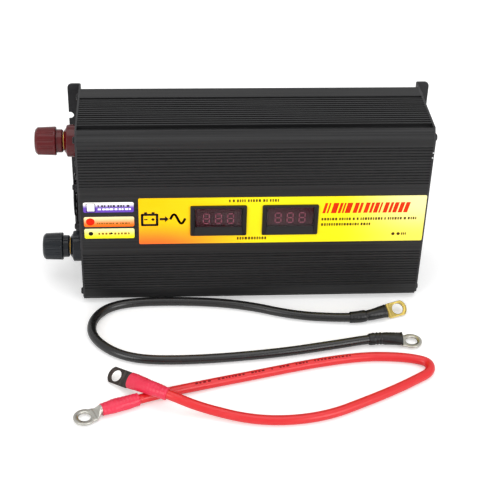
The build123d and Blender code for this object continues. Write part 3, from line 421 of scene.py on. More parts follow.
for colour, lead, line, names in (
        ("black", black_cable, black_line, ("black_far", "black_near")),
        ("red", red_cable, red_line, ("red_raised", "red_flat"))):
    body = colour + "_battery_lead"
    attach(lead, body)
    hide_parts(colour + "_lead")
    for name in names:
        where = name.split("_")[1]
        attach(sleeves[name], body)
        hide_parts(f"{colour}_sleeve_{where}")
        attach(lugs[name], body)
        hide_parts(f"{colour}_lug_{where}")
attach(red_dashes, "red_battery_lead")
print("two leads declared with", len(lugs), "lugs and", len(sleeves), "sleeves")

# %% [markdown]
# ## Studio
# A wide pale floor, a bright plain world and three large soft lights give open shade with
# faint shadows under the case and the cables. Large area lights are the simplest way to
# soft edges: the bigger the light, the softer the shadow.

# %% Floor
FLOOR_SIZE, FLOOR_PARTS, FLOOR_DROP = 12, 12, 0.0002


def floor_grid(size, parts):
    step, row = size / parts, parts + 1
    points = [(-size / 2 + step * i, -size / 2 + step * j, 0)
              for j in range(row) for i in range(row)]
    faces = [(j * row + i, j * row + i + 1, (j + 1) * row + i + 1, (j + 1) * row + i)
             for j in range(parts) for i in range(parts)]
    return build("studio_floor", points, faces)


floor = floor_grid(FLOOR_SIZE, FLOOR_PARTS)
floor.location.z = -FLOOR_DROP
floor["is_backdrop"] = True


# %% Lights and world
def soft_light(name, place, aim, size, power):
    lamp = bpy.data.lights.new(name, "AREA")
    lamp.shape, lamp.size, lamp.energy = "SQUARE", size, power
    holder = bpy.data.objects.new(name, lamp)
    scene.collection.objects.link(holder)
    holder.location = place
    holder.rotation_euler = (Vector(aim) - Vector(place)).to_track_quat("-Z", "Y").to_euler()


soft_light("overhead_softbox", (0.1, -0.1, 1.9), (0, -0.05, 0.05), 1.6, 9)
soft_light("left_softbox", (-1.5, -1.5, 1.0), (0, 0, 0.06), 1.2, 14)
soft_light("right_softbox", (1.3, -1.7, 0.9), (0, 0, 0.06), 1.2, 16)
world = bpy.data.worlds.new("studio_world")
scene.world = world
world.use_nodes = True
sky = world.node_tree.nodes["Background"].inputs
sky["Color"].default_value = (1, 1, 1, 1)
sky["Strength"].default_value = 0.7
print("lights:", [light.name for light in bpy.data.lights])

# %% [markdown]
# ## Shared surface effects
# Real finishes differ, but the same few things happen on all of them: edges rub pale,
# moulded plastic and drawn metal have a grain, and dust settles. Each effect is one node
# group with named inputs and outputs, used again in many materials with other values.

# %% Node helpers
def node(tree, kind, sockets=None, **settings):
    made = tree.nodes.new(kind)
    for key, value in settings.items():
        setattr(made, key, value)
    for key, value in (sockets or {}).items():
        if isinstance(value, bpy.types.NodeSocket):
            tree.links.new(value, made.inputs[key])
        else:
            made.inputs[key].default_value = value
    return made


def maths(tree, operation, a, b=0.0, clamp=False):
    made = node(tree, "ShaderNodeMath", {0: a, 1: b}, operation=operation, use_clamp=clamp)
    return made.outputs[0]


def over_by(tree, value, limit, gain):
    """How far value is over limit, times gain, kept between 0 and 1."""
    return maths(tree, "MULTIPLY", maths(tree, "SUBTRACT", value, limit), gain, True)


def noise(tree, scale, detail, place=None, **more):
    """Noise that sticks to the piece, because it is read at the object's own place."""
    place = place or node(tree, "ShaderNodeTexCoord").outputs["Object"]
    sockets = {"Vector": place, "Scale": scale, "Detail": detail, **more}
    return node(tree, "ShaderNodeTexNoise", sockets).outputs["Fac"]


def effect(name, inputs, outputs):
    group = bpy.data.node_groups.new(name, "ShaderNodeTree")
    for label, kind, value in inputs:
        group.interface.new_socket(label, in_out="INPUT",
                                   socket_type="NodeSocket" + kind).default_value = value
    for label, kind in outputs:
        group.interface.new_socket(label, in_out="OUTPUT", socket_type="NodeSocket" + kind)
    given, result = (group.nodes.new("NodeGroup" + end) for end in ("Input", "Output"))
    return group, given.outputs, result.inputs


def use(tree, group, **sockets):
    made = node(tree, "ShaderNodeGroup", node_tree=group)
    for key, value in sockets.items():
        label = key.replace("_", " ")
        if isinstance(value, bpy.types.NodeSocket):
            tree.links.new(value, made.inputs[label])
        else:
            made.inputs[label].default_value = value
    return made.outputs


# %% Edge wear: a mask where a corner is sharp, broken up by noise, and a softened normal
edge_wear, given, result = effect(
    "edge_wear", (("Width", "Float", 0.0005), ("Amount", "Float", 1.0),
                  ("Patch Scale", "Float", 160.0)),
    (("Mask", "Float"), ("Normal", "Vector")))
soft = node(edge_wear, "ShaderNodeBevel", {"Radius": given["Width"]}, samples=4)
true = node(edge_wear, "ShaderNodeNewGeometry")
facing = node(edge_wear, "ShaderNodeVectorMath", {0: soft.outputs[0], 1: true.outputs["Normal"]},
              operation="DOT_PRODUCT")
sharp = over_by(edge_wear, 1.0, facing.outputs["Value"], 5.0)
broken = over_by(edge_wear, noise(edge_wear, given["Patch Scale"], 3.0), 0.36, 3.2)
rubbed = maths(edge_wear, "MULTIPLY", sharp, broken)
edge_wear.links.new(maths(edge_wear, "MULTIPLY", rubbed, given["Amount"], True), result["Mask"])
edge_wear.links.new(soft.outputs[0], result["Normal"])

# %% Drawn lines: fine marks along X, as an extruded profile leaves its die
drawn_lines, given, result = effect(
    "drawn_lines", (("Fineness", "Float", 1500.0), ("Length", "Float", 6.0)),
    (("Height", "Float"), ("Shade", "Float")))
where = node(drawn_lines, "ShaderNodeTexCoord")
parts = node(drawn_lines, "ShaderNodeSeparateXYZ", {0: where.outputs["Object"]})
run = node(drawn_lines, "ShaderNodeCombineXYZ", {
    axis: maths(drawn_lines, "MULTIPLY", parts.outputs[axis], given[label])
    for axis, label in (("X", "Length"), ("Y", "Fineness"), ("Z", "Fineness"))})
lines = noise(drawn_lines, 1.0, 2.0, run.outputs[0], Roughness=0.6)
drawn_lines.links.new(lines, result["Height"])
drawn_lines.links.new(over_by(drawn_lines, lines, 0.35, 2.6), result["Shade"])

# %% Grain: a fine bumpy skin for moulded plastic and rubber, and slow changes of shade
moulded_grain, given, result = effect(
    "moulded_grain", (("Grain Scale", "Float", 2500.0), ("Shade Scale", "Float", 40.0)),
    (("Height", "Float"), ("Shade", "Float")))
moulded_grain.links.new(noise(moulded_grain, given["Grain Scale"], 2.0), result["Height"])
moulded_grain.links.new(noise(moulded_grain, given["Shade Scale"], 4.0), result["Shade"])

# %% Dust: small pale specks, and a little more of them on faces that look up
dust, given, result = effect(
    "settled_dust", (("Speck Scale", "Float", 900.0), ("Amount", "Float", 0.3)),
    (("Mask", "Float"),))
where = node(dust, "ShaderNodeTexCoord")
specks = node(dust, "ShaderNodeTexVoronoi", {
    "Vector": where.outputs["Object"], "Scale": given["Speck Scale"]})
small = over_by(dust, 0.17, specks.outputs["Distance"], 9.0)
patchy = over_by(dust, noise(dust, 60.0, 3.0), 0.42, 4.0)
lying = node(dust, "ShaderNodeNewGeometry")
tilt = node(dust, "ShaderNodeSeparateXYZ", {0: lying.outputs["Normal"]})
upper = maths(dust, "ADD", maths(dust, "MULTIPLY", tilt.outputs["Z"], 0.5, True), 0.5)
upper_share = maths(dust, "MULTIPLY", upper, given["Amount"])
dust.links.new(maths(dust, "MULTIPLY", maths(dust, "MULTIPLY", small, patchy), upper_share, True),
               result["Mask"])
print("shared effects:", [g.name for g in bpy.data.node_groups])

# %% [markdown]
# ## Materials
# `finish` makes one material from a base colour and a darker or lighter second shade that
# the grain moves between, with pale rubbed edges and a bump from the same grain. What
# stays the same over the whole surface, such as coat and metal, is set on the shader.

# %% Material maker
BUMP_DISTANCE = 0.0002
DUST_GREY = (196, 194, 188)


def linear(colour):
    """Turns an everyday 0 to 255 colour into the light values that a shader works with."""
    shares = [value / 255 for value in colour]
    return tuple(c / 12.92 if c <= 0.04045 else ((c + 0.055) / 1.055) ** 2.4
                 for c in shares) + (1,)


def lighter(colour, times, more):
    return tuple(min(255, c * times + more) for c in colour)


def roughen(tree, shader, shade, rough):
    spread = node(tree, "ShaderNodeMapRange", {
        "Value": shade, "From Min": 0.3, "From Max": 0.7, "To Min": rough[0], "To Max": rough[1]})
    tree.links.new(spread.outputs[0], shader.inputs["Roughness"])


def raise_grain(tree, shader, height, normal, strength):
    raised = node(tree, "ShaderNodeBump", {
        "Height": height, "Normal": normal, "Strength": strength, "Distance": BUMP_DISTANCE})
    tree.links.new(raised.outputs[0], shader.inputs["Normal"])


def blend_colours(tree, mask, low, high):
    made = node(tree, "ShaderNodeMix", data_type="RGBA")
    for socket, value in ((made.inputs["Factor"], mask), (made.inputs[6], low),
                          (made.inputs[7], high)):
        if isinstance(value, bpy.types.NodeSocket):
            tree.links.new(value, socket)
        else:
            socket.default_value = value
    return made.outputs[2]


def finish(name, colour, shade=None, worn=None, rough=(0.4, 0.5), metal=0.0, grain=2500.0,
           patch=40.0, bump=0.1,
           width=0.0004, wear=0.5, lines=False, dusty=0.0, coat=0.0, **fixed):
    made = bpy.data.materials.new(name)
    made.use_nodes = True
    tree = made.node_tree
    shader = tree.nodes["Principled BSDF"]
    surface = use(tree, moulded_grain, Grain_Scale=grain, Shade_Scale=patch)
    if lines:
        surface_lines = use(tree, drawn_lines, Fineness=grain, Length=patch)
        height, mask = surface_lines["Height"], surface_lines["Shade"]
    else:
        height, mask = surface["Height"], surface["Shade"]
    second = shade or lighter(colour, 1.12, 2)
    mixed = blend_colours(tree, mask, linear(colour), linear(second))
    edges = use(tree, edge_wear, Width=width, Amount=wear)
    mixed = blend_colours(tree, edges["Mask"], mixed, linear(worn or lighter(colour, 1.35, 18)))
    if dusty:
        specks = use(tree, dust, Amount=dusty)
        mixed = blend_colours(tree, specks["Mask"], mixed, linear(DUST_GREY))
    tree.links.new(mixed, shader.inputs["Base Color"])
    roughen(tree, shader, surface["Shade"], rough)
    raise_grain(tree, shader, height, edges["Normal"], bump)
    shader.inputs["Metallic"].default_value = metal
    shader.inputs["Coat Weight"].default_value = coat
    for key, value in fixed.items():
        shader.inputs[key.replace("_", " ")].default_value = value
    return made


def dress(material, *names):
    for name in names:
        mesh = nodes[name].data
        if mesh.materials:
            for slot in nodes[name].material_slots:
                slot.material = material
        else:
            mesh.materials.append(material)


# %% [markdown]
# ## Case and plates
# The cover and tray are black anodised extrusion with fine marks along their length. The
# end plates are folded sheet, painted black, with a fine grain. Both could be one black,
# but the two sheens are what tells the plates from the profile.

# %% Case finishes
case_black = finish("black_anodised_profile", (17, 17, 18), shade=(44, 44, 45), worn=(70, 70, 72),
                    rough=(0.4, 0.52),
                    grain=1300.0, patch=5.0, bump=0.3, lines=True, width=0.0005, wear=0.45,
                    dusty=0.08,
                    Specular_IOR_Level=0.32)
plate_black = finish("black_plate_paint", (36, 36, 38), shade=(45, 45, 47), worn=(120, 120, 120),
                     rough=(0.4, 0.52),
                     grain=1400.0, patch=30.0, bump=0.22, width=0.0005, wear=0.6, dusty=0.12,
                     Specular_IOR_Level=0.35)
screw_black = finish("black_screw", (30, 30, 32), worn=(150, 150, 148), rough=(0.25, 0.4),
                     metal=0.6, bump=0.1, width=0.0003, wear=0.8)
dress(case_black, "finned_cover", "base_tray")
dress(plate_black, "dc_end_plate", "ac_end_plate")
dress(screw_black, "plate_screws", "fan_screws")
print("case finishes:", case_black.name, plate_black.name, screw_black.name)

# %% [markdown]
# ## Printed label
# The label is one printed plate: strong yellow, warmer orange towards its lower left and
# nearly white at its right end. Smooth ranges over the object's X and Z do that with no
# picture. A weak glow keeps the ink as bright as clean print looks in soft light.

# %% Label ground
def printed(name, glow=0.0):
    made = bpy.data.materials.new(name)
    made.use_nodes = True
    tree = made.node_tree
    shader = tree.nodes["Principled BSDF"]
    shader.inputs["Specular IOR Level"].default_value = 0.12
    surface = use(tree, moulded_grain, Grain_Scale=1500.0, Shade_Scale=55.0)
    roughen(tree, shader, surface["Shade"], (0.3, 0.42))
    edges = use(tree, edge_wear, Width=0.0003, Amount=0.3)
    raise_grain(tree, shader, surface["Height"], edges["Normal"], 0.06)
    shader.inputs["Emission Strength"].default_value = glow
    return made, tree, shader, surface["Shade"]


def pour(tree, shader, ink):
    # The colour feeds both the base and the glow, so wherever a glow strength is set, the print
    # shows a painted glow in its own colour.
    for label in ("Base Color", "Emission Color"):
        tree.links.new(ink, shader.inputs[label])


def across(tree, axis, low, high):
    where = node(tree, "ShaderNodeTexCoord")
    parts = node(tree, "ShaderNodeSeparateXYZ", {0: where.outputs["Object"]})
    made = node(tree, "ShaderNodeMapRange", {"Value": parts.outputs[axis], "From Min": low,
                                             "From Max": high},
                interpolation_type="SMOOTHSTEP")
    return made.outputs[0]


label_ground, tree, shader, cloud = printed("label_ground", glow=0.12)
low_x, low_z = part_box("label_panel")[0].x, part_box("label_panel")[0].z
down = across(tree, "Z", low_z + 0.026, low_z - 0.002)
toward_left = across(tree, "X", low_x + 0.115, low_x + 0.01)
orange_part = maths(tree, "MULTIPLY", down, toward_left)
toward_right = across(tree, "X", 0.085, 0.160)
upper_part = across(tree, "Z", low_z + 0.005, low_z + 0.040)
upper_share = maths(tree, "ADD", maths(tree, "MULTIPLY", upper_part, 0.6), 0.2)
pale_part = maths(tree, "MULTIPLY", toward_right, upper_share, True)
along = across(tree, "X", low_x + 0.005, low_x + 0.120)
ink = blend_colours(tree, along, (1.0, 0.56, 0.0, 1), (0.98, 0.82, 0.01, 1))
ink = blend_colours(tree, maths(tree, "MULTIPLY", cloud, 0.12), ink, (1.0, 0.90, 0.05, 1))
ink = blend_colours(tree, maths(tree, "MULTIPLY", orange_part, 0.95, True), ink,
                    (1.0, 0.14, 0.03, 1))
ink = blend_colours(tree, pale_part, ink, (1.0, 0.96, 0.5, 1))
pour(tree, shader, ink)
dress(label_ground, "label_panel")
print("label ground has", len(tree.nodes), "nodes")

# %% Sticker grounds: a pale top edge, fading to one colour downward
# Name, colour at the top, main colour, and how far above the top edge and above the bottom
# edge the fade begins and ends.
STICKERS = (
    ("sticker_upper", (250, 248, 244), (104, 70, 178), -0.0005, 0.004),
    ("sticker_middle", (252, 246, 190), (250, 112, 24), 0.003, 0.001),
    ("sticker_lower", (252, 246, 190), (238, 232, 30), 0.003, 0.001))
for name, top, main, begin, stop in STICKERS:
    made, tree, shader, cloud = printed(name + "_ground", glow=0.25)
    low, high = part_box(name)
    fade = across(tree, "Z", high.z + begin, low.z + stop)
    pour(tree, shader, blend_colours(tree, fade, linear(top), linear(main)))
    dress(made, name)
print("printed grounds done")

# %% [markdown]
# ## Marks on the label
# What is printed on the real label is replaced by generic marks: a battery, an arrow and
# a wave for what the box does, slanted bars for its title and short dashes for its lines
# of small print. Each mark is a thin slab standing a twentieth of a millimetre proud.

# %% Slabs from flat outlines, in millimetres along the label and up it
SLAB_THICK, PROUD = 0.00006, 0.00005


def slabs(name, outlines, front):
    points, faces = [], []
    for outline in outlines:
        first, count = len(points), len(outline)
        back = first + count
        for y in (front, front + SLAB_THICK):
            points += [(x * MM, y, z * MM) for x, z in outline]
        faces.append(tuple(first + i for i in range(count)))
        faces.append(tuple(back + i for i in reversed(range(count))))
        for i in range(count):
            after = (i + 1) % count
            faces.append((first + i, first + after, back + after, back + i))
    return build(name, points, faces, smooth=False)


def bar(x0, x1, z0, z1, slant=0.0):
    return [(x0, z0), (x1, z0), (x1 + slant, z1), (x0 + slant, z1)]


def stroke(line, width):
    made = []
    for (x0, z0), (x1, z1) in zip(line, line[1:]):
        size = math.hypot(x1 - x0, z1 - z0)
        nx, nz = -(z1 - z0) / size * width / 2, (x1 - x0) / size * width / 2
        ex, ez = (x1 - x0) / size * width * 0.25, (z1 - z0) / size * width * 0.25
        made.append([(x0 - ex + nx, z0 - ez + nz), (x1 + ex + nx, z1 + ez + nz),
                     (x1 + ex - nx, z1 + ez - nz), (x0 - ex - nx, z0 - ez - nz)])
    return made


def disc(x, z, radius, count=28):
    angles = [math.tau * k / count for k in range(count)]
    return [(x + radius * math.cos(a), z + radius * math.sin(a)) for a in angles]


def dashes(x0, x1, z, high, sizes, gap, seed):
    chance, made, x = random.Random(seed), [], x0
    while x < x1 - sizes[0]:
        size = min(chance.uniform(*sizes), x1 - x)
        made.append(bar(x, x + size, z - high / 2, z + high / 2))
        x += size + gap * (2.2 if chance.random() < 0.2 else 1)
    return made


LABEL_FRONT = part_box("label_panel")[0].y - PROUD
wave = [(-59 + k * 0.52, 88.8 + 4.6 * math.sin(math.tau * k / 24)) for k in range(25)]
BATTERY = [(-83.2, 82.9), (-83.2, 93.4), (-70.4, 93.4), (-70.4, 82.9), (-83.2, 82.9)]
LINE_WIDTH = 2.2
pictogram = stroke(BATTERY, LINE_WIDTH)
pictogram += [  # two posts, a minus, a plus, and the arrow's shaft and head
    bar(-81.4, -78.9, 94.3, 96.0), bar(-75.0, -72.5, 94.3, 96.0),
    bar(-81.4, -78.6, 87.9, 89.1), bar(-75.3, -72.5, 87.9, 89.1), bar(-74.5, -73.3, 87.1, 89.9),
    bar(-68.2, -63.4, 87.6, 90.0), [(-63.6, 85.7), (-60.4, 88.8), (-63.6, 91.9)]]
pictogram += stroke(wave, LINE_WIDTH)
print("pictogram of", len(pictogram), "slabs")

# %% Place the marks
dark_marks = slabs("label_pictogram", pictogram, LABEL_FRONT)
chance = random.Random(4)
title, x = [], 71.7
TITLE_STOP, TITLE_END, TITLE_SLANT = 147.5, 148.4, 2.3
while x < TITLE_STOP:
    wide = chance.choice((1.5, 2.4, 3.6, 4.6))
    title.append(bar(x, min(x + wide, TITLE_END), 92.8, 103.2, TITLE_SLANT))
    x += wide + chance.choice((1.1, 1.3, 2.2))
title_marks = slabs("label_title_bars", title, LABEL_FRONT)
FINE_LINES = (  # start, stop, middle height, dash height, shortest and longest dash, gap, seed
    (71.5, 155.5, 86.7, 2.6, (1.0, 1.9), 0.8, 5), (71.5, 115, 81.2, 2.6, (1.0, 1.9), 0.8, 6),
    (-9, 33.7, 106.5, 2.6, (1.0, 1.9), 0.9, 7), (-1.4, 26.6, 68.0, 2.8, (1.2, 2.1), 0.9, 8))
fine = [mark for line in FINE_LINES for mark in dashes(*line)]
fine += [disc(135.4, 70.6, 1.5), disc(140.0, 70.6, 1.5)]
fine += dashes(142.6, 147.0, 70.6, 2.4, (0.9, 1.4), 0.6, 9)
fine_marks = slabs("label_fine_dashes", fine, LABEL_FRONT)
for piece in (dark_marks, title_marks, fine_marks):
    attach(piece, "case")
print("label marks:", len(title), "title bars and", len(fine), "fine marks")

# %% Marks on the three stickers
STICKER_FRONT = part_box("sticker_upper")[0].y - PROUD
SQUARE = [(-130.2, 97.0), (-130.2, 105.0), (-122.8, 105.0), (-122.8, 97.0), (-130.2, 97.0)]
pale = slabs("sticker_pale_marks", [bar(-129.6, -123.4, 97.6, 104.4)]
             + dashes(-120.5, -92.5, 99.4, 1.7, (1.6, 3.4), 0.5, 42), STICKER_FRONT)
discs = slabs("sticker_red_disc", [disc(-127.4, 86.8, 3.7)], STICKER_FRONT)
dots_marks = slabs("sticker_dark_marks", stroke(SQUARE, 0.5)
                   + [disc(-127.4, 74.6, 2.0), disc(-109.6, 74.8, 1.0)]
                   + dashes(-120.5, -93.0, 102.6, 2.0, (1.0, 2.2), 0.9, 31), STICKER_FRONT)
soft_marks = slabs("sticker_soft_marks", dashes(-122.0, -92.5, 85.0, 1.7, (1.0, 2.4), 0.6, 32)
                   + dashes(-121.0, -94.0, 74.5, 2.0, (0.9, 2.2), 1.2, 33), STICKER_FRONT)
for piece in (pale, discs, dots_marks, soft_marks):
    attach(piece, "case")
print("sticker marks:", [p.name for p in (pale, discs, dots_marks, soft_marks)])

# %% [markdown]
# ## Paint chips
# Two small spots of bare metal on the front edge of the AC plate, where the paint was
# knocked off. Uneven little discs are enough: at this size only their brightness reads.

# %% Chips on the plate's edge
CHIP_SIDES, CHIP_SQUASH = 14, 0.9


def chip(x, z, size, seed):
    chance = random.Random(seed)
    rim = []
    for k in range(CHIP_SIDES):
        angle, reach = math.tau * k / CHIP_SIDES, size * chance.uniform(0.7, 1.1)
        rim.append((x + reach * math.cos(angle), z + reach * math.sin(angle) * CHIP_SQUASH))
    return rim


CHIP_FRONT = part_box("ac_end_plate")[0].y - SLAB_THICK
chips = slabs("plate_paint_chips", [chip(162.2, 151.5, 0.75, 51), chip(161.95, 146.7, 0.85, 52)],
              CHIP_FRONT)
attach(chips, "case")
bare_metal = finish("bare_plate_metal", (214, 216, 216), worn=(240, 240, 240), rough=(0.25, 0.4),
                    metal=0.4, grain=1600.0, bump=0.2)
chips.data.materials.append(bare_metal)
print("two chips of", len(chips.data.polygons), "faces")

# %% Ink for the marks
def ink_material(name, colour, glow=0.0):
    made, tree, shader, cloud = printed(name, glow)
    paler = linear(lighter(colour, 1.1, 6))
    pour(tree, shader, blend_colours(tree, cloud, linear(colour), paler))
    return made


dark_ink = ink_material("dark_print", (22, 18, 16))
brown_ink = ink_material("fine_print", (74, 50, 14))
title_ink = ink_material("title_print", (214, 44, 0))
white_ink = ink_material("white_print", (250, 250, 250), glow=0.3)
disc_ink = ink_material("disc_print", (216, 30, 0))
jacket_ink = ink_material("jacket_print", (112, 18, 22))
soft_ink = ink_material("sticker_soft_print", (150, 96, 24))
for piece, material in (
        (dark_marks, dark_ink), (title_marks, title_ink), (fine_marks, brown_ink),
        (pale, white_ink), (discs, disc_ink), (dots_marks, dark_ink), (soft_marks, soft_ink),
        (red_dashes, jacket_ink)):
    piece.data.materials.append(material)
print("inks:", [m.name for m in bpy.data.materials if m.name.endswith("_print")])

# %% [markdown]
# ## Meters
# The two meters have glossy black bezels that catch the light, a smoked red window and,
# behind it, a block with seven-bar digits that are switched off, so only a little paler
# than their block. The bars stand a little proud of the block, so depth finds them.

# %% Meter finishes
bezel_black = finish("bezel_gloss_black", (13, 13, 14), worn=(60, 60, 62), rough=(0.26, 0.36),
                     bump=0.03, width=0.0006, wear=0.25, Specular_IOR_Level=0.4)
dress(bezel_black, "left_meter_bezel", "right_meter_bezel")
meter_glass = bpy.data.materials.new("smoked_red_window")
meter_glass.use_nodes = True
tree = meter_glass.node_tree
shader = tree.nodes["Principled BSDF"]
smoke = use(tree, moulded_grain, Grain_Scale=900.0, Shade_Scale=50.0)
tint = blend_colours(tree, smoke["Shade"], linear((214, 190, 196)), linear((220, 198, 203)))
tree.links.new(tint, shader.inputs["Base Color"])
shader.inputs["Transmission Weight"].default_value = 1.0
shader.inputs["Roughness"].default_value = 0.08
shader.inputs["IOR"].default_value = 1.3
dress(meter_glass, "left_meter_window", "right_meter_window")

BAR_DEPTH = -0.04395
digits = bpy.data.materials.new("meter_digit_block")
digits.use_nodes = True
tree = digits.node_tree
shader = tree.nodes["Principled BSDF"]
where = node(tree, "ShaderNodeTexCoord")
depth = node(tree, "ShaderNodeSeparateXYZ", {0: where.outputs["Object"]})
bars = maths(tree, "LESS_THAN", depth.outputs["Y"], BAR_DEPTH)
cloud = use(tree, moulded_grain, Grain_Scale=1800.0, Shade_Scale=120.0)["Shade"]
block = blend_colours(tree, cloud, linear((66, 50, 54)), linear((76, 56, 62)))
pour(tree, shader, blend_colours(tree, bars, block, linear((190, 120, 142))))
# The block and its bars get a weak painted glow, though the meters are switched off.
shader.inputs["Emission Strength"].default_value = 0.22
shader.inputs["Roughness"].default_value = 0.4
dress(digits, "left_meter_digits", "right_meter_digits")
print("meters:", bezel_black.name, meter_glass.name, digits.name)

# %% [markdown]
# ## Posts, fan, sockets and lamps on the end plates
# Moulded knobs have a thin clear skin and pale rubs on their flutes. The fan is plain
# black plastic, its guard is plated wire, and the sockets are dark nylon. A table holds
# what each finish needs, and one loop makes them all. The copper is on the choke too.

# %% End plate finishes
def dress_all(rows):
    for name, colour, shade, worn, rough, pieces, rest in rows:
        dress(finish(name, colour, shade, worn, rough, **rest), *pieces.split())
        print(name, "on", pieces)


# name, colour, second shade, rubbed edges, roughness, pieces, what else is set
END_PLATE_FINISHES = (
    ("wine_red_knob", (80, 0, 5), (96, 2, 9), (140, 40, 42), (0.16, 0.24),
     "red_post_base red_post_collar red_post_knob",
     dict(bump=0.04, coat=0.2, Specular_IOR_Level=0.35, width=0.0006, wear=0.5)),
    ("blue_black_knob", (8, 14, 21), (13, 21, 30), (84, 92, 102), (0.16, 0.24),
     "black_post_base black_post_collar black_post_knob",
     dict(bump=0.04, coat=0.2, Specular_IOR_Level=0.35, width=0.0006, wear=0.5)),
    ("stud_brass", (196, 152, 78), (214, 172, 96), (240, 214, 150), (0.22, 0.36),
     "red_post_stud black_post_stud red_post_nut black_post_nut", dict(metal=1.0, bump=0.12)),
    ("fan_black_plastic", (24, 24, 25), (31, 31, 32), None, (0.42, 0.55),
     "fan_frame", dict(bump=0.16, dusty=0.25)),
    ("wound_copper", (176, 96, 52), (200, 118, 66), (230, 160, 110), (0.28, 0.4),
     "fan_stator output_choke", dict(metal=1.0, grain=1800.0, bump=0.3)),
    ("guard_wire", (44, 44, 46), None, (150, 150, 150), (0.2, 0.34),
     "fan_guard", dict(metal=0.8, bump=0.08, wear=0.2)),
    ("socket_nylon", (28, 28, 29), (35, 35, 36), (90, 90, 90), (0.36, 0.5),
     "outlet_upper outlet_lower", dict(bump=0.14, dusty=0.12)),
    ("contact_brass", (190, 158, 92), None, (236, 214, 160), (0.24, 0.4),
     "outlet_contacts", dict(metal=1.0, bump=0.15)),
    ("switch_black", (20, 20, 21), None, (80, 80, 80), (0.28, 0.4),
     "switch_housing", dict(bump=0.08, coat=0.2)),
    ("switch_red_rocker", (196, 24, 20), (214, 34, 28), (240, 120, 104), (0.18, 0.3),
     "switch_rocker", dict(bump=0.05, coat=0.4)),
    ("plated_shell", (176, 178, 180), (198, 200, 202), (235, 235, 235), (0.22, 0.36),
     "usb_port", dict(metal=1.0, bump=0.12)),
    ("green_lamp", (30, 150, 62), (44, 178, 80), None, (0.08, 0.16),
     "power_lamp", dict(bump=0.02, coat=0.5)),
    ("red_lamp", (186, 26, 22), (212, 40, 34), None, (0.08, 0.16),
     "fault_lamp", dict(bump=0.02, coat=0.5)))
dress_all(END_PLATE_FINISHES)

# %% [markdown]
# ## Inside the case
# The inside shows through the vents and when the CAD is opened up, so each part gets its
# own finish too: green board, grey ferrite, yellow winding tape, bare clamps and copper.

# %% Inner finishes
INNER_FINISHES = (
    ("board_green", (22, 84, 48), (28, 100, 58), (150, 168, 120), (0.3, 0.42),
     "main_board control_board meter_boards", dict(patch=180.0, bump=0.1, coat=0.3)),
    ("zinc_fixings", (170, 172, 172), None, (230, 230, 228), (0.26, 0.42),
     "board_fixings", dict(metal=1.0, bump=0.14)),
    ("ferrite_grey", (52, 52, 55), (64, 64, 67), (110, 110, 112), (0.5, 0.66),
     "transformer_cores", dict(grain=1200.0, bump=0.3)),
    ("winding_tape", (214, 176, 60), (228, 192, 82), (240, 214, 130), (0.24, 0.4),
     "transformer_windings", dict(grain=700.0, bump=0.12)),
    ("capacitor_sleeve", (26, 34, 84), (34, 44, 104), (150, 156, 170), (0.2, 0.32),
     "capacitors", dict(bump=0.06, coat=0.2)),
    ("package_epoxy", (26, 26, 27), (34, 34, 35), None, (0.5, 0.62),
     "transistors", dict(bump=0.16)),
    ("clamp_aluminium", (168, 170, 172), None, (220, 220, 220), (0.3, 0.46),
     "clamp_bars", dict(metal=1.0, grain=1500.0, bump=0.2)),
    ("busbar_copper", (190, 108, 66), (206, 124, 80), (236, 174, 130), (0.26, 0.42),
     "dc_busbars", dict(metal=1.0, bump=0.15)),
    ("blade_fuse", (36, 92, 190), (46, 108, 206), (150, 180, 226), (0.14, 0.24),
     "blade_fuses", dict(bump=0.03, coat=0.3)))
dress_all(INNER_FINISHES)

print("finishes so far:", len(bpy.data.materials))

# %% [markdown]
# ## Cable and lug finishes
# Cable jackets are soft vinyl: smooth enough for one bright highlight along their upper
# side, which a low roughness and a strong specular level give. Heat-shrink is duller. The
# lugs are brass, tin plate and darkened copper.

# %% Cable finishes
jacket_black = finish("black_jacket", (17, 17, 18), shade=(25, 25, 26), rough=(0.22, 0.31),
                      grain=900.0, patch=90.0, bump=0.08, dusty=0.12,
                      Specular_IOR_Level=0.65)
jacket_red = finish("red_jacket", (212, 22, 28), shade=(222, 34, 40), worn=(240, 80, 82),
                    rough=(0.28, 0.36), grain=900.0, patch=90.0, bump=0.08,
                    Specular_IOR_Level=0.6)
shrink_black = finish("black_heat_shrink", (13, 13, 14), shade=(21, 21, 22), rough=(0.3, 0.42),
                      grain=700.0, patch=120.0, bump=0.2)
shrink_red = finish("red_heat_shrink", (220, 34, 66), shade=(232, 52, 84), worn=(240, 130, 140),
                    rough=(0.3, 0.42), grain=700.0, patch=120.0, bump=0.2, wear=0.2)
brass_lug = finish("brass_lug", (196, 170, 84), shade=(214, 190, 110), worn=(246, 222, 160),
                   rough=(0.24, 0.38), metal=1.0, grain=900.0, bump=0.2)
tinned_lug = finish("tinned_lug", (184, 182, 174), shade=(206, 204, 196), worn=(240, 240, 236),
                    rough=(0.26, 0.4), metal=1.0, grain=900.0, bump=0.2)
dark_lug = finish("darkened_lug", (66, 60, 58), shade=(84, 76, 72), worn=(150, 140, 132),
                  rough=(0.24, 0.38), metal=1.0, grain=900.0, bump=0.2)
WEARS = (
    (jacket_black, black_cable), (jacket_red, red_cable), (brass_lug, lugs["black_far"]),
    (shrink_black, sleeves["black_far"], sleeves["black_near"]), (dark_lug, lugs["red_raised"]),
    (shrink_red, sleeves["red_raised"], sleeves["red_flat"]),
    (tinned_lug, lugs["black_near"], lugs["red_flat"]))
for material, *pieces in WEARS:
    for piece in pieces:
        piece.data.materials.append(material)
print("cable finishes:", jacket_black.name, jacket_red.name, shrink_black.name, shrink_red.name)

# %% [markdown]
# ## Floor finish
# The floor is pale and even. It glows only for the rays that come straight to the eye, so
# it looks as bright as a lit sweep while adding no light of its own to the black case.

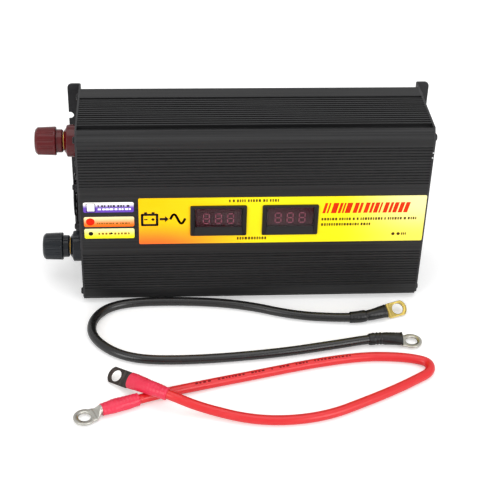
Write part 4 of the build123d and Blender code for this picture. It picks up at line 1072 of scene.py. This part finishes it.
# %% Floor finish
floor_white = finish("pale_sweep", (244, 244, 244), shade=(248, 248, 248), worn=(244, 244, 244),
                     rough=(0.7, 0.8), grain=300.0, patch=3.0, bump=0.02, wear=0.0)
tree = floor_white.node_tree
seen = node(tree, "ShaderNodeLightPath")
shader = tree.nodes["Principled BSDF"]
shader.inputs["Emission Color"].default_value = (1, 1, 1, 1)
FLOOR_GLOW = 0.3
glow = maths(tree, "MULTIPLY", seen.outputs["Is Camera Ray"], FLOOR_GLOW)
tree.links.new(glow, shader.inputs["Emission Strength"])
floor.data.materials.append(floor_white)
print("floor finish:", floor_white.name)

# %% [markdown]
# ## Fan rotor
# Fan blades are thin, twisted and swept, which is quicker to say with a formula than to
# draw: each blade is a grid of points whose angle grows along the chord and with the
# radius. A Solidify modifier gives it its thickness. The hub is a turned profile.

# %% Rotor
rotor_low, rotor_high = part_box("fan_rotor")
axis_y, axis_z = -0.0035, 0.0885
x_front, x_rear = rotor_low.x, rotor_high.x
HUB_SIDES = 72
BLADES, SPAN, CHORD = 7, 9, 9
ROOT_RADIUS, TIP_RADIUS = 0.0106, 0.0218
BLADE_THICKNESS = 0.0008


def turned(profile, count=HUB_SIDES):
    return [[Vector((x, axis_y + r * math.sin(math.tau * k / count),
                     axis_z + r * math.cos(math.tau * k / count)))
             for k in range(count)] for x, r in profile]


hub_profile = [(x_front, 0.0012), (x_front, 0.0092), (x_front + 0.0003, 0.0102),
               (x_front + 0.001, 0.0108), (x_rear, 0.011), (x_rear, 0.0105),
               (x_front + 0.0015, 0.0100), (x_front + 0.0011, 0.0012)]
fan_hub = build("fan_hub", *skin(turned(hub_profile), closed=True))
points, faces = [], []
for blade in range(BLADES):
    for i in range(SPAN):
        share = i / (SPAN - 1)
        radius = ROOT_RADIUS + (TIP_RADIUS - ROOT_RADIUS) * share
        twist, sweep = math.radians(44 - 10 * share), math.radians(14) * share * share
        for j in range(CHORD):
            along = j / (CHORD - 1)
            angle = math.tau * blade / BLADES + twist * (along - 0.5) + sweep
            bow = along - 0.10 * math.sin(math.pi * along)
            x = x_front + 0.0010 + (x_rear - x_front - 0.0020) * bow
            points.append((x, axis_y + radius * math.sin(angle),
                           axis_z + radius * math.cos(angle)))
    for i in range(SPAN - 1):
        for j in range(CHORD - 1):
            corner = (blade * SPAN + i) * CHORD + j
            faces.append((corner, corner + 1, corner + CHORD + 1, corner + CHORD))
fan_blades = build("fan_blades", points, faces)
thick = fan_blades.modifiers.new("thickness", "SOLIDIFY")
thick.thickness, thick.offset = BLADE_THICKNESS, 0
blade_black = finish("rotor_black_plastic", (29, 29, 30), shade=(37, 37, 38), worn=(74, 74, 74),
                     rough=(0.3, 0.42), bump=0.1, dusty=0.3)
for piece in (fan_hub, fan_blades):
    piece.data.materials.append(blade_black)
    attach(piece, "fan_rotor_body")
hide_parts("fan_rotor")
print("rotor has", BLADES, "blades between", round(x_front, 4), "and", round(x_rear, 4))

# %% [markdown]
# ## Size of the dressed model
# The dressed model must fill the same box as the CAD, so its box is written down.

# %% Write the sizes and finish
low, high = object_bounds()
print("visual box in mm:", [round(v / MM, 1) for v in (*low, *high)])
